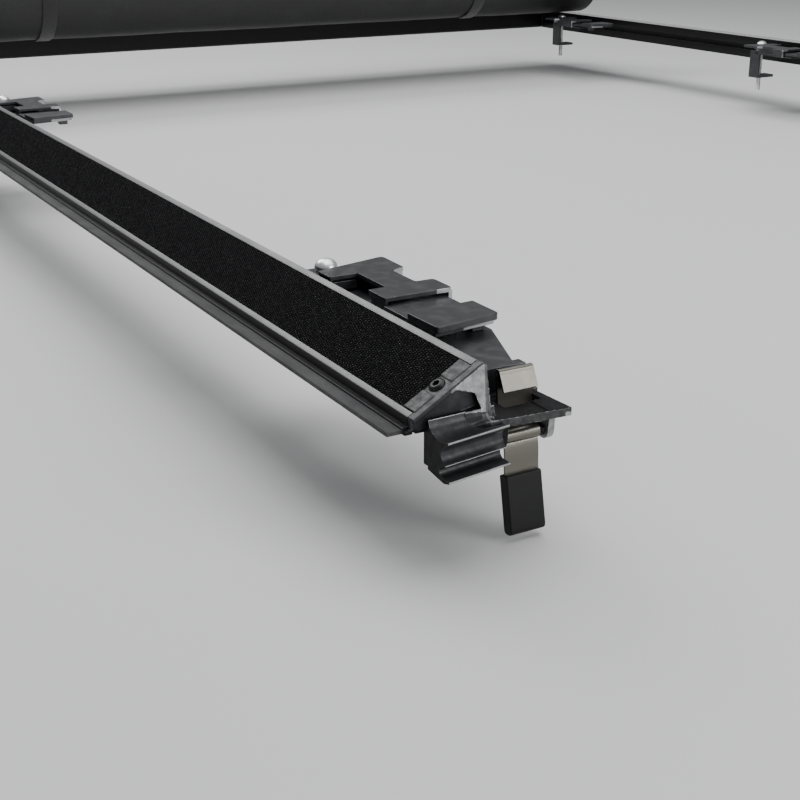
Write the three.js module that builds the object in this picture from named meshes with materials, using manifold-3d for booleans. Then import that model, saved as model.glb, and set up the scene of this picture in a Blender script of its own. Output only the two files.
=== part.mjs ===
// Soft roll-up tonneau cover for a pickup bed, stored open: two side rails, a front header,
// the cover rolled up and strapped behind it, a trigger latch at the rear of each rail, and
// three clamps along each rail.
//
// Millimetres, +Z up, +X towards the tailgate, +Y towards the passenger side. The origin is
// the middle of the header's underside, on the plane where the cover sits on the bed rails.
//
// Both sides are built in one side frame and the passenger side is its mirror image. In the
// side frame x runs rearward from the rail's rear end, y runs inboard from the rail's inboard
// top edge, and z is the height above the bed rail.

import * as THREE from 'three';
import { mergeVertices } from 'three/addons/utils/BufferGeometryUtils.js';
import Module from 'manifold-3d';

// ---- driving dimensions ----

const GAP = 0.3;

const RAIL_LENGTH = 1930;
const RAIL_END_X = 1964;
const RAIL_EDGE_Y = 710;
const RAIL_TOP = 38;
const RAIL_WALL = 2.2;
const SLOPE_ANGLE = THREE.MathUtils.degToRad(30);
const SLOPE_LENGTH = 55;
const LAND = { inboard: 5.2, outboard: 4.1 };
const STRIP_RECESS = 2;
const STRIP_THICKNESS = 1.4;
const FLANGE_TOP = 4.2;
const FLANGE_REACH = 51;
const SEAL_THICKNESS = 2.6;
const SEAL_REACH = 61;
const CHANNEL = { depth: 8, low: 14, high: 24 };

const CAP_LENGTH = 7;
const TAB_LENGTH = 11.5;
const SCREW = { x: -6, slope: 27.8, head: 5.4, headHeight: 1.5, shank: 2.5, length: 9 };
const PLATE_TOP = 3.2;
const PIVOT = { x: -5, z: -18.5 };
const PIN_RADIUS = 2.5;
const BARREL_RADIUS = 4.8;
const EAR_RADIUS = 6.6;
const LEVER = { inner: 23, outer: 48.3, thickness: 1.6, tangInset: 2 };
const GRIP = { inner: 21.6, outer: 48.8, depth: 8.8, length: 39 };
const LIP_TWIST = 0.144;

const CLAMP_CENTRES = { rear: -200, middle: -1160, front: -1770 };
const CLAMP_PLATE = { low: 29.5, high: 33 };
const CLAMP_BOLT = { x: -51, y: 26.5, head: 9, seat: 28.4, shank: 4, bottom: -50 };
const JAW = { top: -22.5, thickness: 4.5 };

const HEADER_DEPTH = 60;
const HEADER_HALF_WIDTH = 757;
const ROLL = { x: 100, radius: 82, halfWidth: 752, core: 26, pitch: 10, flap: 1.3 };
const BOW = { width: 30, thickness: 8, count: 4, spacing: 386 };
const TAIL_BAR = { width: 36, height: 22, halfWidth: 757 };
const STRAP = { y: 450, width: 25, thickness: 2.1 };
const BUCKLE = { length: 38, width: 34, thickness: 10, angle: THREE.MathUtils.degToRad(128) };

const FINISH = {
  rail: { color: 0x1c1c1e, roughness: 0.45, metalness: 0.6 },
  hook: { color: 0x141416, roughness: 0.95, metalness: 0 },
  seal: { color: 0x4a4a4a, roughness: 0.9, metalness: 0 },
  casting: { color: 0x6a6a6c, roughness: 0.5, metalness: 0.8 },
  stainless: { color: 0xb4aea4, roughness: 0.35, metalness: 1 },
  rubber: { color: 0x1a1a1b, roughness: 0.6, metalness: 0 },
  steel: { color: 0x8c8f92, roughness: 0.4, metalness: 1 },
  plate: { color: 0x5a5d60, roughness: 0.5, metalness: 0.7 },
  vinyl: { color: 0x161617, roughness: 0.7, metalness: 0 },
  aluminium: { color: 0xa8aaac, roughness: 0.4, metalness: 1 },
  webbing: { color: 0x101011, roughness: 0.9, metalness: 0 },
  plastic: { color: 0x18181a, roughness: 0.4, metalness: 0 },
};

// ---- solids ----

const wasm = await Module();
wasm.setup();

/** Keep only merged positions, which is what a closed solid needs. */
function clean(geometry) {
  geometry.deleteAttribute('normal');
  geometry.deleteAttribute('uv');
  return mergeVertices(geometry, 1e-4);
}

function toManifold(geometry) {
  const merged = clean(geometry.clone());
  return new wasm.Manifold(new wasm.Mesh({
    numProp: 3,
    vertProperties: new Float32Array(merged.attributes.position.array),
    triVerts: new Uint32Array(merged.index.array),
  }));
}

function fromManifold(solid) {
  const mesh = solid.getMesh();
  const geometry = new THREE.BufferGeometry();
  geometry.setAttribute('position', new THREE.BufferAttribute(mesh.vertProperties, 3));
  geometry.setIndex(new THREE.BufferAttribute(mesh.triVerts, 1));
  return geometry;
}

/** Join the solids in add, then take away the solids in cut. */
function combine(add, cut = []) {
  const joined = add.map(toManifold).reduce((sum, solid) => sum.add(solid));
  return fromManifold(cut.map(toManifold).reduce((sum, solid) => sum.subtract(solid), joined));
}

function shapeOf(points, holes = []) {
  const shape = new THREE.Shape(points.map(([a, b]) => new THREE.Vector2(a, b)));
  shape.holes = holes.map((hole) => new THREE.Path(hole.map(([a, b]) => new THREE.Vector2(a, b))));
  return shape;
}

function extrude(shape, depth) {
  return new THREE.ExtrudeGeometry(shape, { depth, bevelEnabled: false, curveSegments: 12 });
}

/** Outline in (y, z), pulled along x. */
function alongX(shape, x0, x1) {
  const turn = new THREE.Matrix4().set(0, 0, 1, 0, 1, 0, 0, 0, 0, 1, 0, 0, 0, 0, 0, 1);
  return extrude(shape, x1 - x0).applyMatrix4(turn).translate(x0, 0, 0);
}

/** Outline in (x, z), pulled along y. */
function alongY(shape, y0, y1) {
  return extrude(shape, y1 - y0).rotateX(Math.PI / 2).translate(0, y1, 0);
}

/** Outline in (x, y), pulled along z. */
function alongZ(shape, z0, z1) {
  return extrude(shape, z1 - z0).translate(0, 0, z0);
}

function box([x0, x1], [y0, y1], [z0, z1]) {
  return new THREE.BoxGeometry(x1 - x0, y1 - y0, z1 - z0)
    .translate((x0 + x1) / 2, (y0 + y1) / 2, (z0 + z1) / 2);
}

/** Round bar along y, centred on (x, z). */
function barY(x, z, radius, y0, y1, sides = 20) {
  return new THREE.CylinderGeometry(radius, radius, y1 - y0, sides)
    .translate(x, (y0 + y1) / 2, z);
}

/** Round bar along z, centred on (x, y). */
function barZ(x, y, radius, z0, z1, sides = 20) {
  return new THREE.CylinderGeometry(radius, radius, z1 - z0, sides)
    .rotateX(Math.PI / 2).translate(x, y, (z0 + z1) / 2);
}

/** A strip of even thickness that follows a path of (a, b) points. */
function ribbon(path, thickness) {
  const side = (sign) => path.map(([a, b], i) => {
    const [pa, pb] = path[Math.max(i - 1, 0)];
    const [na, nb] = path[Math.min(i + 1, path.length - 1)];
    const length = Math.hypot(na - pa, nb - pb);
    return [a - sign * (nb - pb) / length * thickness / 2,
      b + sign * (na - pa) / length * thickness / 2];
  });
  return shapeOf([...side(1), ...side(-1).reverse()]);
}

/** Points of an arc about (a, b), from one angle to another in degrees. */
function arc(a, b, radius, from, to, steps) {
  return Array.from({ length: steps + 1 }, (_, i) => {
    const angle = THREE.MathUtils.degToRad(from + (to - from) * i / steps);
    return [a + radius * Math.cos(angle), b + radius * Math.sin(angle)];
  });
}

// ---- the side rail and what lies on it ----

/** A point on the sloped face: distance down the slope, height above it. */
function onSlope(down, out = 0) {
  return [-down * Math.cos(SLOPE_ANGLE) - out * Math.sin(SLOPE_ANGLE),
    RAIL_TOP - down * Math.sin(SLOPE_ANGLE) + out * Math.cos(SLOPE_ANGLE)];
}

/** A round bar square to the sloped face, from one height to another. */
function slopeBar(radius, low, high, sides = 20) {
  const [y, z] = onSlope(SCREW.slope, (low + high) / 2);
  return new THREE.CylinderGeometry(radius, radius, high - low, sides)
    .rotateX(Math.PI / 2 + SLOPE_ANGLE).translate(SCREW.x, y, z);
}

function sideRail() {
  const [footY, footZ] = onSlope(SLOPE_LENGTH);
  const skin = STRIP_RECESS + RAIL_WALL;
  const innerY = -CHANNEL.depth - RAIL_WALL;
  const underSlope = (y) => RAIL_TOP + y * Math.tan(SLOPE_ANGLE) - skin / Math.cos(SLOPE_ANGLE);
  const floor = FLANGE_TOP + 1;
  const outline = [
    [0, RAIL_TOP], onSlope(LAND.inboard), onSlope(LAND.inboard, -STRIP_RECESS),
    onSlope(SLOPE_LENGTH - LAND.outboard, -STRIP_RECESS), onSlope(SLOPE_LENGTH - LAND.outboard),
    [footY, footZ], [footY, FLANGE_TOP], [-FLANGE_REACH, FLANGE_TOP],
    [-FLANGE_REACH, SEAL_THICKNESS + GAP], [-27, SEAL_THICKNESS + GAP], [-27, GAP], [0, GAP],
    [0, CHANNEL.low], [-CHANNEL.depth, CHANNEL.low], [-CHANNEL.depth, CHANNEL.high],
    [0, CHANNEL.high],
  ];
  const hollow = [
    [innerY, floor], [innerY, underSlope(innerY)],
    [footY + RAIL_WALL, underSlope(footY + RAIL_WALL)], [footY + RAIL_WALL, floor],
  ];
  const body = alongX(shapeOf(outline, [hollow]), -RAIL_LENGTH, 0);
  return combine([body], [slopeBar(SCREW.shank + GAP, -12, 3)]);
}

function hookStrip() {
  const [top, foot] = [LAND.inboard + GAP, SLOPE_LENGTH - LAND.outboard - GAP];
  const low = GAP - STRIP_RECESS;
  const outline = [onSlope(top, low), onSlope(top, low + STRIP_THICKNESS),
    onSlope(foot, low + STRIP_THICKNESS), onSlope(foot, low)];
  return alongX(shapeOf(outline), 2 - RAIL_LENGTH, -TAB_LENGTH - GAP);
}

function bedRailSeal() {
  const outline = [[-SEAL_REACH, 0], [-28, 0], [-28, SEAL_THICKNESS],
    [-SEAL_REACH + 1, SEAL_THICKNESS]];
  return alongX(shapeOf(outline), 1 - RAIL_LENGTH, -1);
}

function frontPlug() {
  const [footY, footZ] = onSlope(SLOPE_LENGTH);
  const outline = [[0, RAIL_TOP], [footY, footZ], [footY, FLANGE_TOP], [0, FLANGE_TOP]];
  const front = -RAIL_LENGTH - GAP;
  const tongue = box([front - 1, front + 25], [-38, -14], [7, 11]);
  return combine([alongX(shapeOf(outline), front - 3.4, front), tongue]);
}

// ---- the rear corner casting ----

/** Three-lipped rear block: its section in (x, z), pulled across and sheared in plan. */
function ridgedBlock() {
  const section = new THREE.Shape();
  section.moveTo(7.3, 9);
  section.quadraticCurveTo(9, 1, 20.8, 0.4);
  section.lineTo(29.2, 2.3);
  section.lineTo(29.7, 1.4);
  section.quadraticCurveTo(17, -5, 24.9, -12.2);
  section.lineTo(27.1, -13);
  section.quadraticCurveTo(15.5, -16.5, 23, -21.5);
  section.lineTo(31.4, -21.6);
  section.lineTo(31.6, -22.6);
  section.lineTo(25.6, -24.3);
  section.lineTo(7.3, -22);
  const outboard = -38;
  const twist = new THREE.Matrix4().set(1, -LIP_TWIST, 0, LIP_TWIST * outboard,
    0, 1, 0, 0, 0, 0, 1, 0, 0, 0, 0, 1);
  return alongY(section, outboard, 9).applyMatrix4(twist);
}

function cornerCasting() {
  const [footY, footZ] = onSlope(SLOPE_LENGTH);
  const endPlate = alongX(shapeOf([[1, RAIL_TOP - 0.5], [0, RAIL_TOP], [footY, footZ],
    [footY, 3.2], [-44, GAP], [2.6, GAP], [2.6, 34]]), GAP, 3.6);
  const slopeFlange = alongX(shapeOf([onSlope(0), onSlope(SLOPE_LENGTH),
    onSlope(SLOPE_LENGTH, -3), onSlope(0, -3)]), 3, CAP_LENGTH);
  const [tabTop, tabFoot] = [LAND.inboard + 2 * GAP, SLOPE_LENGTH - LAND.outboard - 2 * GAP];
  const tab = alongX(shapeOf([onSlope(tabTop, GAP - STRIP_RECESS), onSlope(tabTop, 0.2),
    onSlope(tabFoot, 0.2), onSlope(tabFoot, GAP - STRIP_RECESS)]), -TAB_LENGTH, 1);
  const wallOutline = new THREE.Shape();
  wallOutline.moveTo(GAP, GAP);
  wallOutline.lineTo(15, GAP);
  wallOutline.lineTo(15, PLATE_TOP);
  wallOutline.quadraticCurveTo(9.5, 4, 9, 12);
  wallOutline.lineTo(7, RAIL_TOP - 1.5);
  wallOutline.lineTo(GAP, RAIL_TOP - 1.5);
  const wall = alongY(wallOutline, -2.6, 2.6);
  const gusset = alongX(shapeOf([[-20.5, 25], [0, 36.5], [0, 10], [-3.5, 12.7], [-6.6, 20.7]]),
    3, CAP_LENGTH - 0.7);
  const core = box([0.6, 9], [-37, 8], [-21, 2]);
  const basePlate = alongZ(shapeOf([[-26, GAP * 2], [15, GAP * 2], [19.6, 56.6], [-26, 54]]),
    GAP, PLATE_TOP);
  const ear = (y0, y1) => [barY(PIVOT.x, PIVOT.z, EAR_RADIUS, y0, y1),
    box([PIVOT.x - EAR_RADIUS, PIVOT.x + EAR_RADIUS], [y0, y1], [PIVOT.z, 1])];
  const rim = alongZ(shapeOf([[13.3, 9], [15.7, 9], [19.6, 56.6], [17.3, 56.6]]), -2.2, 1);
  const frontWeb = box([-26, -23.8], [12, 62], [-11, 1]);
  const sideWall = box([-26, -2], [55.2, 57.5], [-11, 1]);
  const slot = box([-21.5, -2], [LEVER.inner - 1, LEVER.outer + 1], [-2, 6]);
  return combine(
    [endPlate, slopeFlange, tab, wall, gusset, core, ridgedBlock(), basePlate, rim, frontWeb,
      sideWall, ...ear(18.6, 22.5), ...ear(52.6, 57.5)],
    [slot, slopeBar(SCREW.shank + GAP, -12, 3),
      barY(PIVOT.x, PIVOT.z, PIN_RADIUS + GAP, 17, 60)],
  );
}

function cornerScrew() {
  const seat = 0.2 + GAP;
  const head = slopeBar(SCREW.head, seat, seat + SCREW.headHeight);
  const shank = slopeBar(SCREW.shank, seat - SCREW.length, seat + 0.5);
  const socket = slopeBar(1.7, seat + SCREW.headHeight - 1.5, seat + SCREW.headHeight + 1, 6);
  return combine([head, shank], [socket]);
}

// ---- the trigger latch ----

function latchLever() {
  const hook = [[-5.4, 10.2], [-8.1, 15.6], [-10.9, 21.2],
    ...arc(-12.4, 20.8, 1.5, 40, 170, 4), [-13, 12], [-12, 3], [-11.4, -6], [-9.2, -17]];
  const shank = [[-3.4, -22], [-2.2, -32], [-1.6, -42.5]];
  const tang = [[-1.7, -41], [-1.6, -43], [1.2, -57], [3.4, -68]];
  const { inner, outer, thickness, tangInset } = LEVER;
  return combine([
    alongY(ribbon(hook, thickness), inner, outer),
    alongY(ribbon(shank, thickness), inner, outer),
    alongY(ribbon(tang, thickness), inner + tangInset, outer - tangInset),
    barY(PIVOT.x, PIVOT.z, BARREL_RADIUS, inner, outer),
  ], [barY(PIVOT.x, PIVOT.z, PIN_RADIUS + GAP, inner - 1, outer + 1)]);
}

function leverGrip() {
  const lean = Math.atan2(7.4, 37);
  const { inner, outer, depth, length } = GRIP;
  const outline = new THREE.Shape();
  outline.moveTo(-depth / 2, 0);
  outline.lineTo(-depth / 2, -length + 4);
  outline.quadraticCurveTo(-depth / 2, -length, -depth / 2 + 4, -length);
  outline.lineTo(depth / 2 - 4, -length);
  outline.quadraticCurveTo(depth / 2, -length, depth / 2, -length + 4);
  outline.lineTo(depth / 2, 0);
  const body = alongY(outline, inner, outer).rotateY(-lean).translate(-1.6, 0, -43);
  const pocket = [[-2.4, -38], [-1.6, -43], [1.2, -57], [3.5, -69]];
  const pocketEdge = LEVER.tangInset - GAP;
  return combine([body], [alongY(ribbon(pocket, LEVER.thickness + 2 * GAP),
    LEVER.inner + pocketEdge, LEVER.outer - pocketEdge)]);
}

function latchPin() {
  return combine([barY(PIVOT.x, PIVOT.z, PIN_RADIUS, 17.6, 59),
    barY(PIVOT.x, PIVOT.z, 4, 57.9, 59.6)]);
}

function latchSpring() {
  const [inside, outside] = [PIN_RADIUS + 0.6, BARREL_RADIUS];
  const profile = [[inside, 0], [outside, 0], [outside, 3.2], [inside, 3.2], [inside, 0]];
  return new THREE.LatheGeometry(profile.map(([r, h]) => new THREE.Vector2(r, h)), 20)
    .translate(PIVOT.x, LEVER.outer + 0.5, PIVOT.z);
}

function latchBracket() {
  const shelf = alongZ(shapeOf([[-130, 0.6], [-27, 0.6], [-27, 46], [-94, 72.5], [-130, 72.5]]),
    15.2, 18.2);
  const web = box([-130, -27], [0.6, 3.6], [3.6, 18]);
  const apron = box([-29.6, -27], [0.6, 46], [-4, 18]);
  const boss = box([-36, -28], [42, 55], [13, 17.6]);
  return combine([shelf, web, apron, boss]);
}

// ---- a rail clamp, in its own frame centred on the clamp plate ----

function clampPlate() {
  const { low, high } = CLAMP_PLATE;
  const plate = alongZ(shapeOf([[50, 21], [50, 76], [23.5, 76], [23.5, 61], [-10.5, 61],
    [-14.5, 73], [-49.5, 74], [-35.5, 12], [-16.5, 12], [-16.5, 35], [25.5, 35], [25.5, 21]]),
  low, high);
  const lip = box([28, 50], [73, 76], [20, high]);
  const frontLip = box([-18, -14.8], [64, 72.5], [25, high]);
  const floor = box([-38, 48], [9, 52], [16.5, 19.5]);
  const walls = [box([-38, 30], [49, 52], [19, low + 0.4]),
    box([-38, -34], [35, 52], [16.5, low + 0.4])];
  const ear = box([-60, -17], [12, 35], [21.5, CLAMP_BOLT.seat - GAP]);
  const leg = (x0, x1, y) => [box([x0, x1], [y, y + 3], [16, high - 1]),
    box([x0, x1], [GAP - CHANNEL.depth, y + 3], [16, 21])];
  return combine([plate, lip, frontLip, floor, ...walls, ear, ...leg(-34, -17, 12), ...leg(28, 48, 22)],
    [barZ(CLAMP_BOLT.x, CLAMP_BOLT.y, CLAMP_BOLT.shank + GAP, 15, CLAMP_BOLT.seat + 1)]);
}

function clampTongue() {
  const top = CLAMP_PLATE.low - 2;
  const slide = alongZ(shapeOf([[34, 26], [50, 26], [50, 20], [119, 20], [112, 71], [34, 71]]),
    top - 3.5, top);
  const pad = alongZ(shapeOf([[84, 19], [121.5, 20], [114.5, 73], [81, 73]]),
    top - 0.5, CLAMP_PLATE.high - 1);
  const post = box([96, 106], [57, 67], [18.2 + GAP, top - 1]);
  return combine([slide, pad, post]);
}

function clampBolt() {
  const { seat } = CLAMP_BOLT;
  const dome = new THREE.SphereGeometry(CLAMP_BOLT.head, 20, 10)
    .rotateX(Math.PI / 2).translate(CLAMP_BOLT.x, CLAMP_BOLT.y, seat);
  const below = box([-80, -20], [0, 60], [seat - 20, seat]);
  const head = combine([dome], [below]);
  return combine([head,
    barZ(CLAMP_BOLT.x, CLAMP_BOLT.y, CLAMP_BOLT.shank, CLAMP_BOLT.bottom, seat + 1)]);
}

function clampJaw() {
  const low = JAW.top - JAW.thickness;
  const foot = box([-63, -40], [2, 41], [low, JAW.top]);
  const heel = box([-63, -40], [36.5, 41], [low, 20]);
  return combine([foot, heel],
    [barZ(CLAMP_BOLT.x, CLAMP_BOLT.y, CLAMP_BOLT.shank + GAP, low - 5, JAW.top + 5)]);
}

// ---- header, roll and straps ----

function headerBar() {
  const half = HEADER_DEPTH / 2;
  const bottom = SEAL_THICKNESS + GAP;
  const outline = [[-half, bottom], [half, bottom], [half, RAIL_TOP], [8 - half, RAIL_TOP],
    [-half, RAIL_TOP - 10]];
  const hollow = [[3 - half, bottom + 3], [3 - half, RAIL_TOP - 11.5], [9 - half, RAIL_TOP - 3],
    [half - 3, RAIL_TOP - 3], [half - 3, bottom + 3]];
  return alongY(shapeOf(outline, [hollow]), -HEADER_HALF_WIDTH, HEADER_HALF_WIDTH);
}

function headerSeal() {
  return box([-26, 26], [8 - HEADER_HALF_WIDTH, HEADER_HALF_WIDTH - 8], [0, SEAL_THICKNESS]);
}

/**
 * Where the cover lies in the roll, counted along it from the tail bar. The outermost turn
 * leaves the drum at its lowest point, so the angle is counted back from there.
 */
function spiralAt(distance) {
  const growth = ROLL.pitch / (2 * Math.PI);
  const turn = (Math.sqrt(ROLL.core ** 2 + 2 * growth * distance) - ROLL.core) / growth;
  const lastTurn = (ROLL.radius - ROLL.core) / growth;
  return { angle: lastTurn - turn - Math.PI / 2, radius: ROLL.core + growth * turn };
}

const ROLL_Z = RAIL_TOP + GAP + ROLL.radius;

/** A bar that lies flat between two turns of the roll, given its width and thickness. */
function bowBar(index, width, thickness, halfLength) {
  const { angle, radius } = spiralAt(BOW.spacing * (index + 1));
  return box([-thickness / 2, thickness / 2], [-halfLength, halfLength],
    [-width / 2, width / 2])
    .translate(radius - ROLL.pitch / 2, 0, 0).rotateY(-angle).translate(ROLL.x, 0, ROLL_Z);
}

function tailOutline(grow) {
  const [a, b] = [TAIL_BAR.width / 2 + grow, TAIL_BAR.height / 2 + grow];
  return shapeOf([[-a, -b], [a - 8, -b], [a, -b + 6], [a, b], [-a, b]]);
}

function tailBar() {
  return alongY(tailOutline(0), -TAIL_BAR.halfWidth, TAIL_BAR.halfWidth)
    .translate(ROLL.x, 0, ROLL_Z);
}

function coverRoll() {
  const drum = barY(ROLL.x, ROLL_Z, ROLL.radius, -ROLL.halfWidth, ROLL.halfWidth, 48);
  const flap = box([-14, ROLL.x], [-ROLL.halfWidth, ROLL.halfWidth],
    [RAIL_TOP + GAP, RAIL_TOP + GAP + ROLL.flap]);
  const slots = Array.from({ length: BOW.count }, (_, i) =>
    bowBar(i, BOW.width + 2 * GAP, BOW.thickness + 2 * GAP, ROLL.halfWidth + 5));
  const core = alongY(tailOutline(GAP), -ROLL.halfWidth - 5, ROLL.halfWidth + 5)
    .translate(ROLL.x, 0, ROLL_Z);
  return combine([drum, flap], [...slots, core]);
}

function strap(y) {
  const inside = ROLL.radius + GAP;
  const ring = (radius, grow) => barY(ROLL.x, ROLL_Z, radius, y - STRAP.width / 2 - grow,
    y + STRAP.width / 2 + grow, 48);
  const mouth = box([0, ROLL.x], [y - 40, y + 40], [20, RAIL_TOP + 8]);
  return combine([ring(inside + STRAP.thickness, 0)], [ring(inside, 5), mouth]);
}

function strapBuckle(y) {
  const { length, width, thickness, angle } = BUCKLE;
  const radius = ROLL.radius + STRAP.thickness + 3 * GAP + thickness / 2 + 2;
  const outline = [[-length / 2, -width / 2 + 5], [5 - length / 2, -width / 2],
    [length / 2 - 5, -width / 2], [length / 2, 5 - width / 2], [length / 2, width / 2 - 5],
    [length / 2 - 5, width / 2], [5 - length / 2, width / 2], [-length / 2, width / 2 - 5]];
  return alongZ(shapeOf(outline), -thickness / 2, thickness / 2)
    .translate(0, 0, radius).rotateY(Math.PI / 2 - angle).translate(ROLL.x, y, ROLL_Z);
}

// ---- assembly ----

const cover = new THREE.Group();

function addMesh(parent, name, geometry, finish) {
  const mesh = new THREE.Mesh(clean(geometry), new THREE.MeshStandardMaterial(FINISH[finish]));
  mesh.name = name;
  parent.add(mesh);
  return mesh;
}

/** The geometry as its mirror image in y, with its faces still pointing out. */
function mirrored(geometry) {
  const image = clean(geometry.clone()).scale(1, -1, 1);
  const index = image.index.array;
  for (let i = 0; i < index.length; i += 3) {
    [index[i], index[i + 1]] = [index[i + 1], index[i]];
  }
  return image;
}

const SIDE_PIECES = [
  ['side_rail', sideRail, 'rail'],
  ['hook_strip', hookStrip, 'hook'],
  ['bed_rail_seal', bedRailSeal, 'seal'],
  ['front_plug', frontPlug, 'plastic'],
  ['corner_casting', cornerCasting, 'casting'],
  ['corner_screw', cornerScrew, 'steel'],
  ['latch_lever', latchLever, 'stainless'],
  ['lever_grip', leverGrip, 'rubber'],
  ['latch_pin', latchPin, 'steel'],
  ['latch_spring', latchSpring, 'steel'],
  ['latch_bracket', latchBracket, 'plate'],
];

const CLAMP_PIECES = [
  ['clamp_plate', clampPlate, 'plate'],
  ['clamp_tongue', clampTongue, 'plate'],
  ['clamp_bolt', clampBolt, 'steel'],
  ['clamp_jaw', clampJaw, 'plate'],
];

for (const [side, sign] of [['left', -1], ['right', 1]]) {
  const handed = (geometry) => (sign < 0 ? geometry : mirrored(geometry));
  const group = new THREE.Group();
  group.position.set(RAIL_END_X, sign * RAIL_EDGE_Y, 0);
  cover.add(group);
  for (const [name, make, finish] of SIDE_PIECES) {
    addMesh(group, `${side}_${name}`, handed(make()), finish);
  }
  for (const [place, centre] of Object.entries(CLAMP_CENTRES)) {
    const clamp = new THREE.Group();
    clamp.position.x = centre;
    group.add(clamp);
    for (const [name, make, finish] of CLAMP_PIECES) {
      addMesh(clamp, `${side}_${place}_${name}`, handed(make()), finish);
    }
  }
  addMesh(cover, `${side}_strap`, strap(sign * STRAP.y), 'webbing');
  addMesh(cover, `${side}_strap_buckle`, strapBuckle(sign * STRAP.y), 'plastic');
}

addMesh(cover, 'header_bar', headerBar(), 'rail');
addMesh(cover, 'header_seal', headerSeal(), 'seal');
addMesh(cover, 'cover_roll', coverRoll(), 'vinyl');
addMesh(cover, 'tail_bar', tailBar(), 'rail');
for (let i = 0; i < BOW.count; i += 1) {
  addMesh(cover, `bow_${i + 1}`, bowBar(i, BOW.width, BOW.thickness, ROLL.halfWidth - 6),
    'aluminium');
}

export default cover;
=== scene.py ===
"""A soft roll-up tonneau cover for a pickup bed, rolled open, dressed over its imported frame.

Metres in the world, with +X towards the tailgate and +Y towards the passenger side. Most
pieces are drawn in the millimetres of one side's own frame: x runs rearward from the rail's
rear end, y inboard from its inboard top edge, and z up from the bed rail.
"""

import logging
import math
from dataclasses import dataclass, field
from enum import Enum, IntEnum
from typing import Any, Callable, Sequence

import bmesh
import bpy
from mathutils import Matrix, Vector


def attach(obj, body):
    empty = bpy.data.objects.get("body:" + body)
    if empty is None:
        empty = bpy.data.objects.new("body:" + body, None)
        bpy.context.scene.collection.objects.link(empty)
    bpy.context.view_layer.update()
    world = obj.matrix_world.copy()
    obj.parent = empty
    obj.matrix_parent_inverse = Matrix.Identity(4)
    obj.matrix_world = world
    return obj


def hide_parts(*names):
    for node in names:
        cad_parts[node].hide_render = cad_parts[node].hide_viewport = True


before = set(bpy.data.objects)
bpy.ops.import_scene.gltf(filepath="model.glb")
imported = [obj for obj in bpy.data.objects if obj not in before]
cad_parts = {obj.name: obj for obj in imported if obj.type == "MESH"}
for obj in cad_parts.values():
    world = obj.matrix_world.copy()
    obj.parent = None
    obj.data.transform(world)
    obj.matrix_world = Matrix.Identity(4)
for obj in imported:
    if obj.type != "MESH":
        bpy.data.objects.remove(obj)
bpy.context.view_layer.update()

log = logging.getLogger("cover")

MM = 0.001

RAIL_END_X = 1964.0
RAIL_EDGE_Y = 710.0
RAIL_LENGTH = 1930.0
RAIL_TOP = 38.0
SLOPE_ANGLE = math.radians(30)
SLOPE_LENGTH = 55.0
LAND_INBOARD = 5.2
LAND_OUTBOARD = 4.1
STRIP_RECESS = 2.0
STRIP_THICKNESS = 1.4
STRIP_END_X = -11.8
LATCH_PIVOT = (-5.0, -18.5)
GAP = 0.3
ROOT = "cover_frame"

Point2 = tuple[float, float]
Point3 = tuple[float, float, float]
Colour = tuple[float, float, float]
Place = Callable[[float, float, float], Point3]


# ---- node trees ----


class Wire:
    """One output in a node tree, with arithmetic on its value."""

    def __init__(self, tree: bpy.types.NodeTree, socket: bpy.types.NodeSocket) -> None:
        """Keep the socket and the tree it belongs to."""
        self.tree = tree
        self.socket = socket

    def _maths(self, operation: str, first: Any, second: Any) -> "Wire":
        """Add a Math node.

        Args:
            operation: the Math node's operation.
            first: a wire or a number.
            second: a wire or a number.

        Returns:
            The node's value.
        """
        node = self.tree.nodes.new("ShaderNodeMath")
        node.operation = operation
        for socket, value in zip(node.inputs, (first, second)):
            if isinstance(value, Wire):
                self.tree.links.new(value.socket, socket)
            else:
                socket.default_value = value
        return Wire(self.tree, node.outputs[0])

    def __add__(self, other: Any) -> "Wire":
        """Sum."""
        return self._maths("ADD", self, other)

    def __radd__(self, other: Any) -> "Wire":
        """Sum with the number first."""
        return self._maths("ADD", other, self)

    def __sub__(self, other: Any) -> "Wire":
        """Difference."""
        return self._maths("SUBTRACT", self, other)

    def __rsub__(self, other: Any) -> "Wire":
        """Difference with the number first."""
        return self._maths("SUBTRACT", other, self)

    def __mul__(self, other: Any) -> "Wire":
        """Product."""
        return self._maths("MULTIPLY", self, other)

    def __truediv__(self, other: Any) -> "Wire":
        """Quotient."""
        return self._maths("DIVIDE", self, other)

    def __pow__(self, other: Any) -> "Wire":
        """Power."""
        return self._maths("POWER", self, other)

    def __mod__(self, other: Any) -> "Wire":
        """Remainder, never negative."""
        return self._maths("FLOORED_MODULO", self, other)

    def sine(self) -> "Wire":
        """Sine of the value, in radians."""
        return self._maths("SINE", self, 0.0)

    def whole(self) -> "Wire":
        """The value rounded down."""
        return self._maths("FLOOR", self, 0.0)


class Tree:
    """A node tree under construction."""

    def __init__(self, tree: bpy.types.NodeTree) -> None:
        """Keep the tree that nodes are added to."""
        self.tree = tree

    def node(self, kind: str, settings: dict[str, Any] | None = None,
             inputs: dict[Any, Any] | None = None, output: Any = 0) -> Wire:
        """Add a node.

        Args:
            kind: the node's type.
            settings: its properties, set first; "stops" are a colour ramp's stops.
            inputs: a number, colour or wire for each named or numbered socket.
            output: the name or number of the socket to return.

        Returns:
            The chosen output.
        """
        node = self.tree.nodes.new(kind)
        for key, value in (settings or {}).items():
            if key == "stops":
                set_stops(node.color_ramp, value)
            else:
                setattr(node, key, value)
        for key, value in (inputs or {}).items():
            if isinstance(value, Wire):
                self.tree.links.new(value.socket, node.inputs[key])
            else:
                node.inputs[key].default_value = value
        return Wire(self.tree, node.outputs[output])


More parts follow.
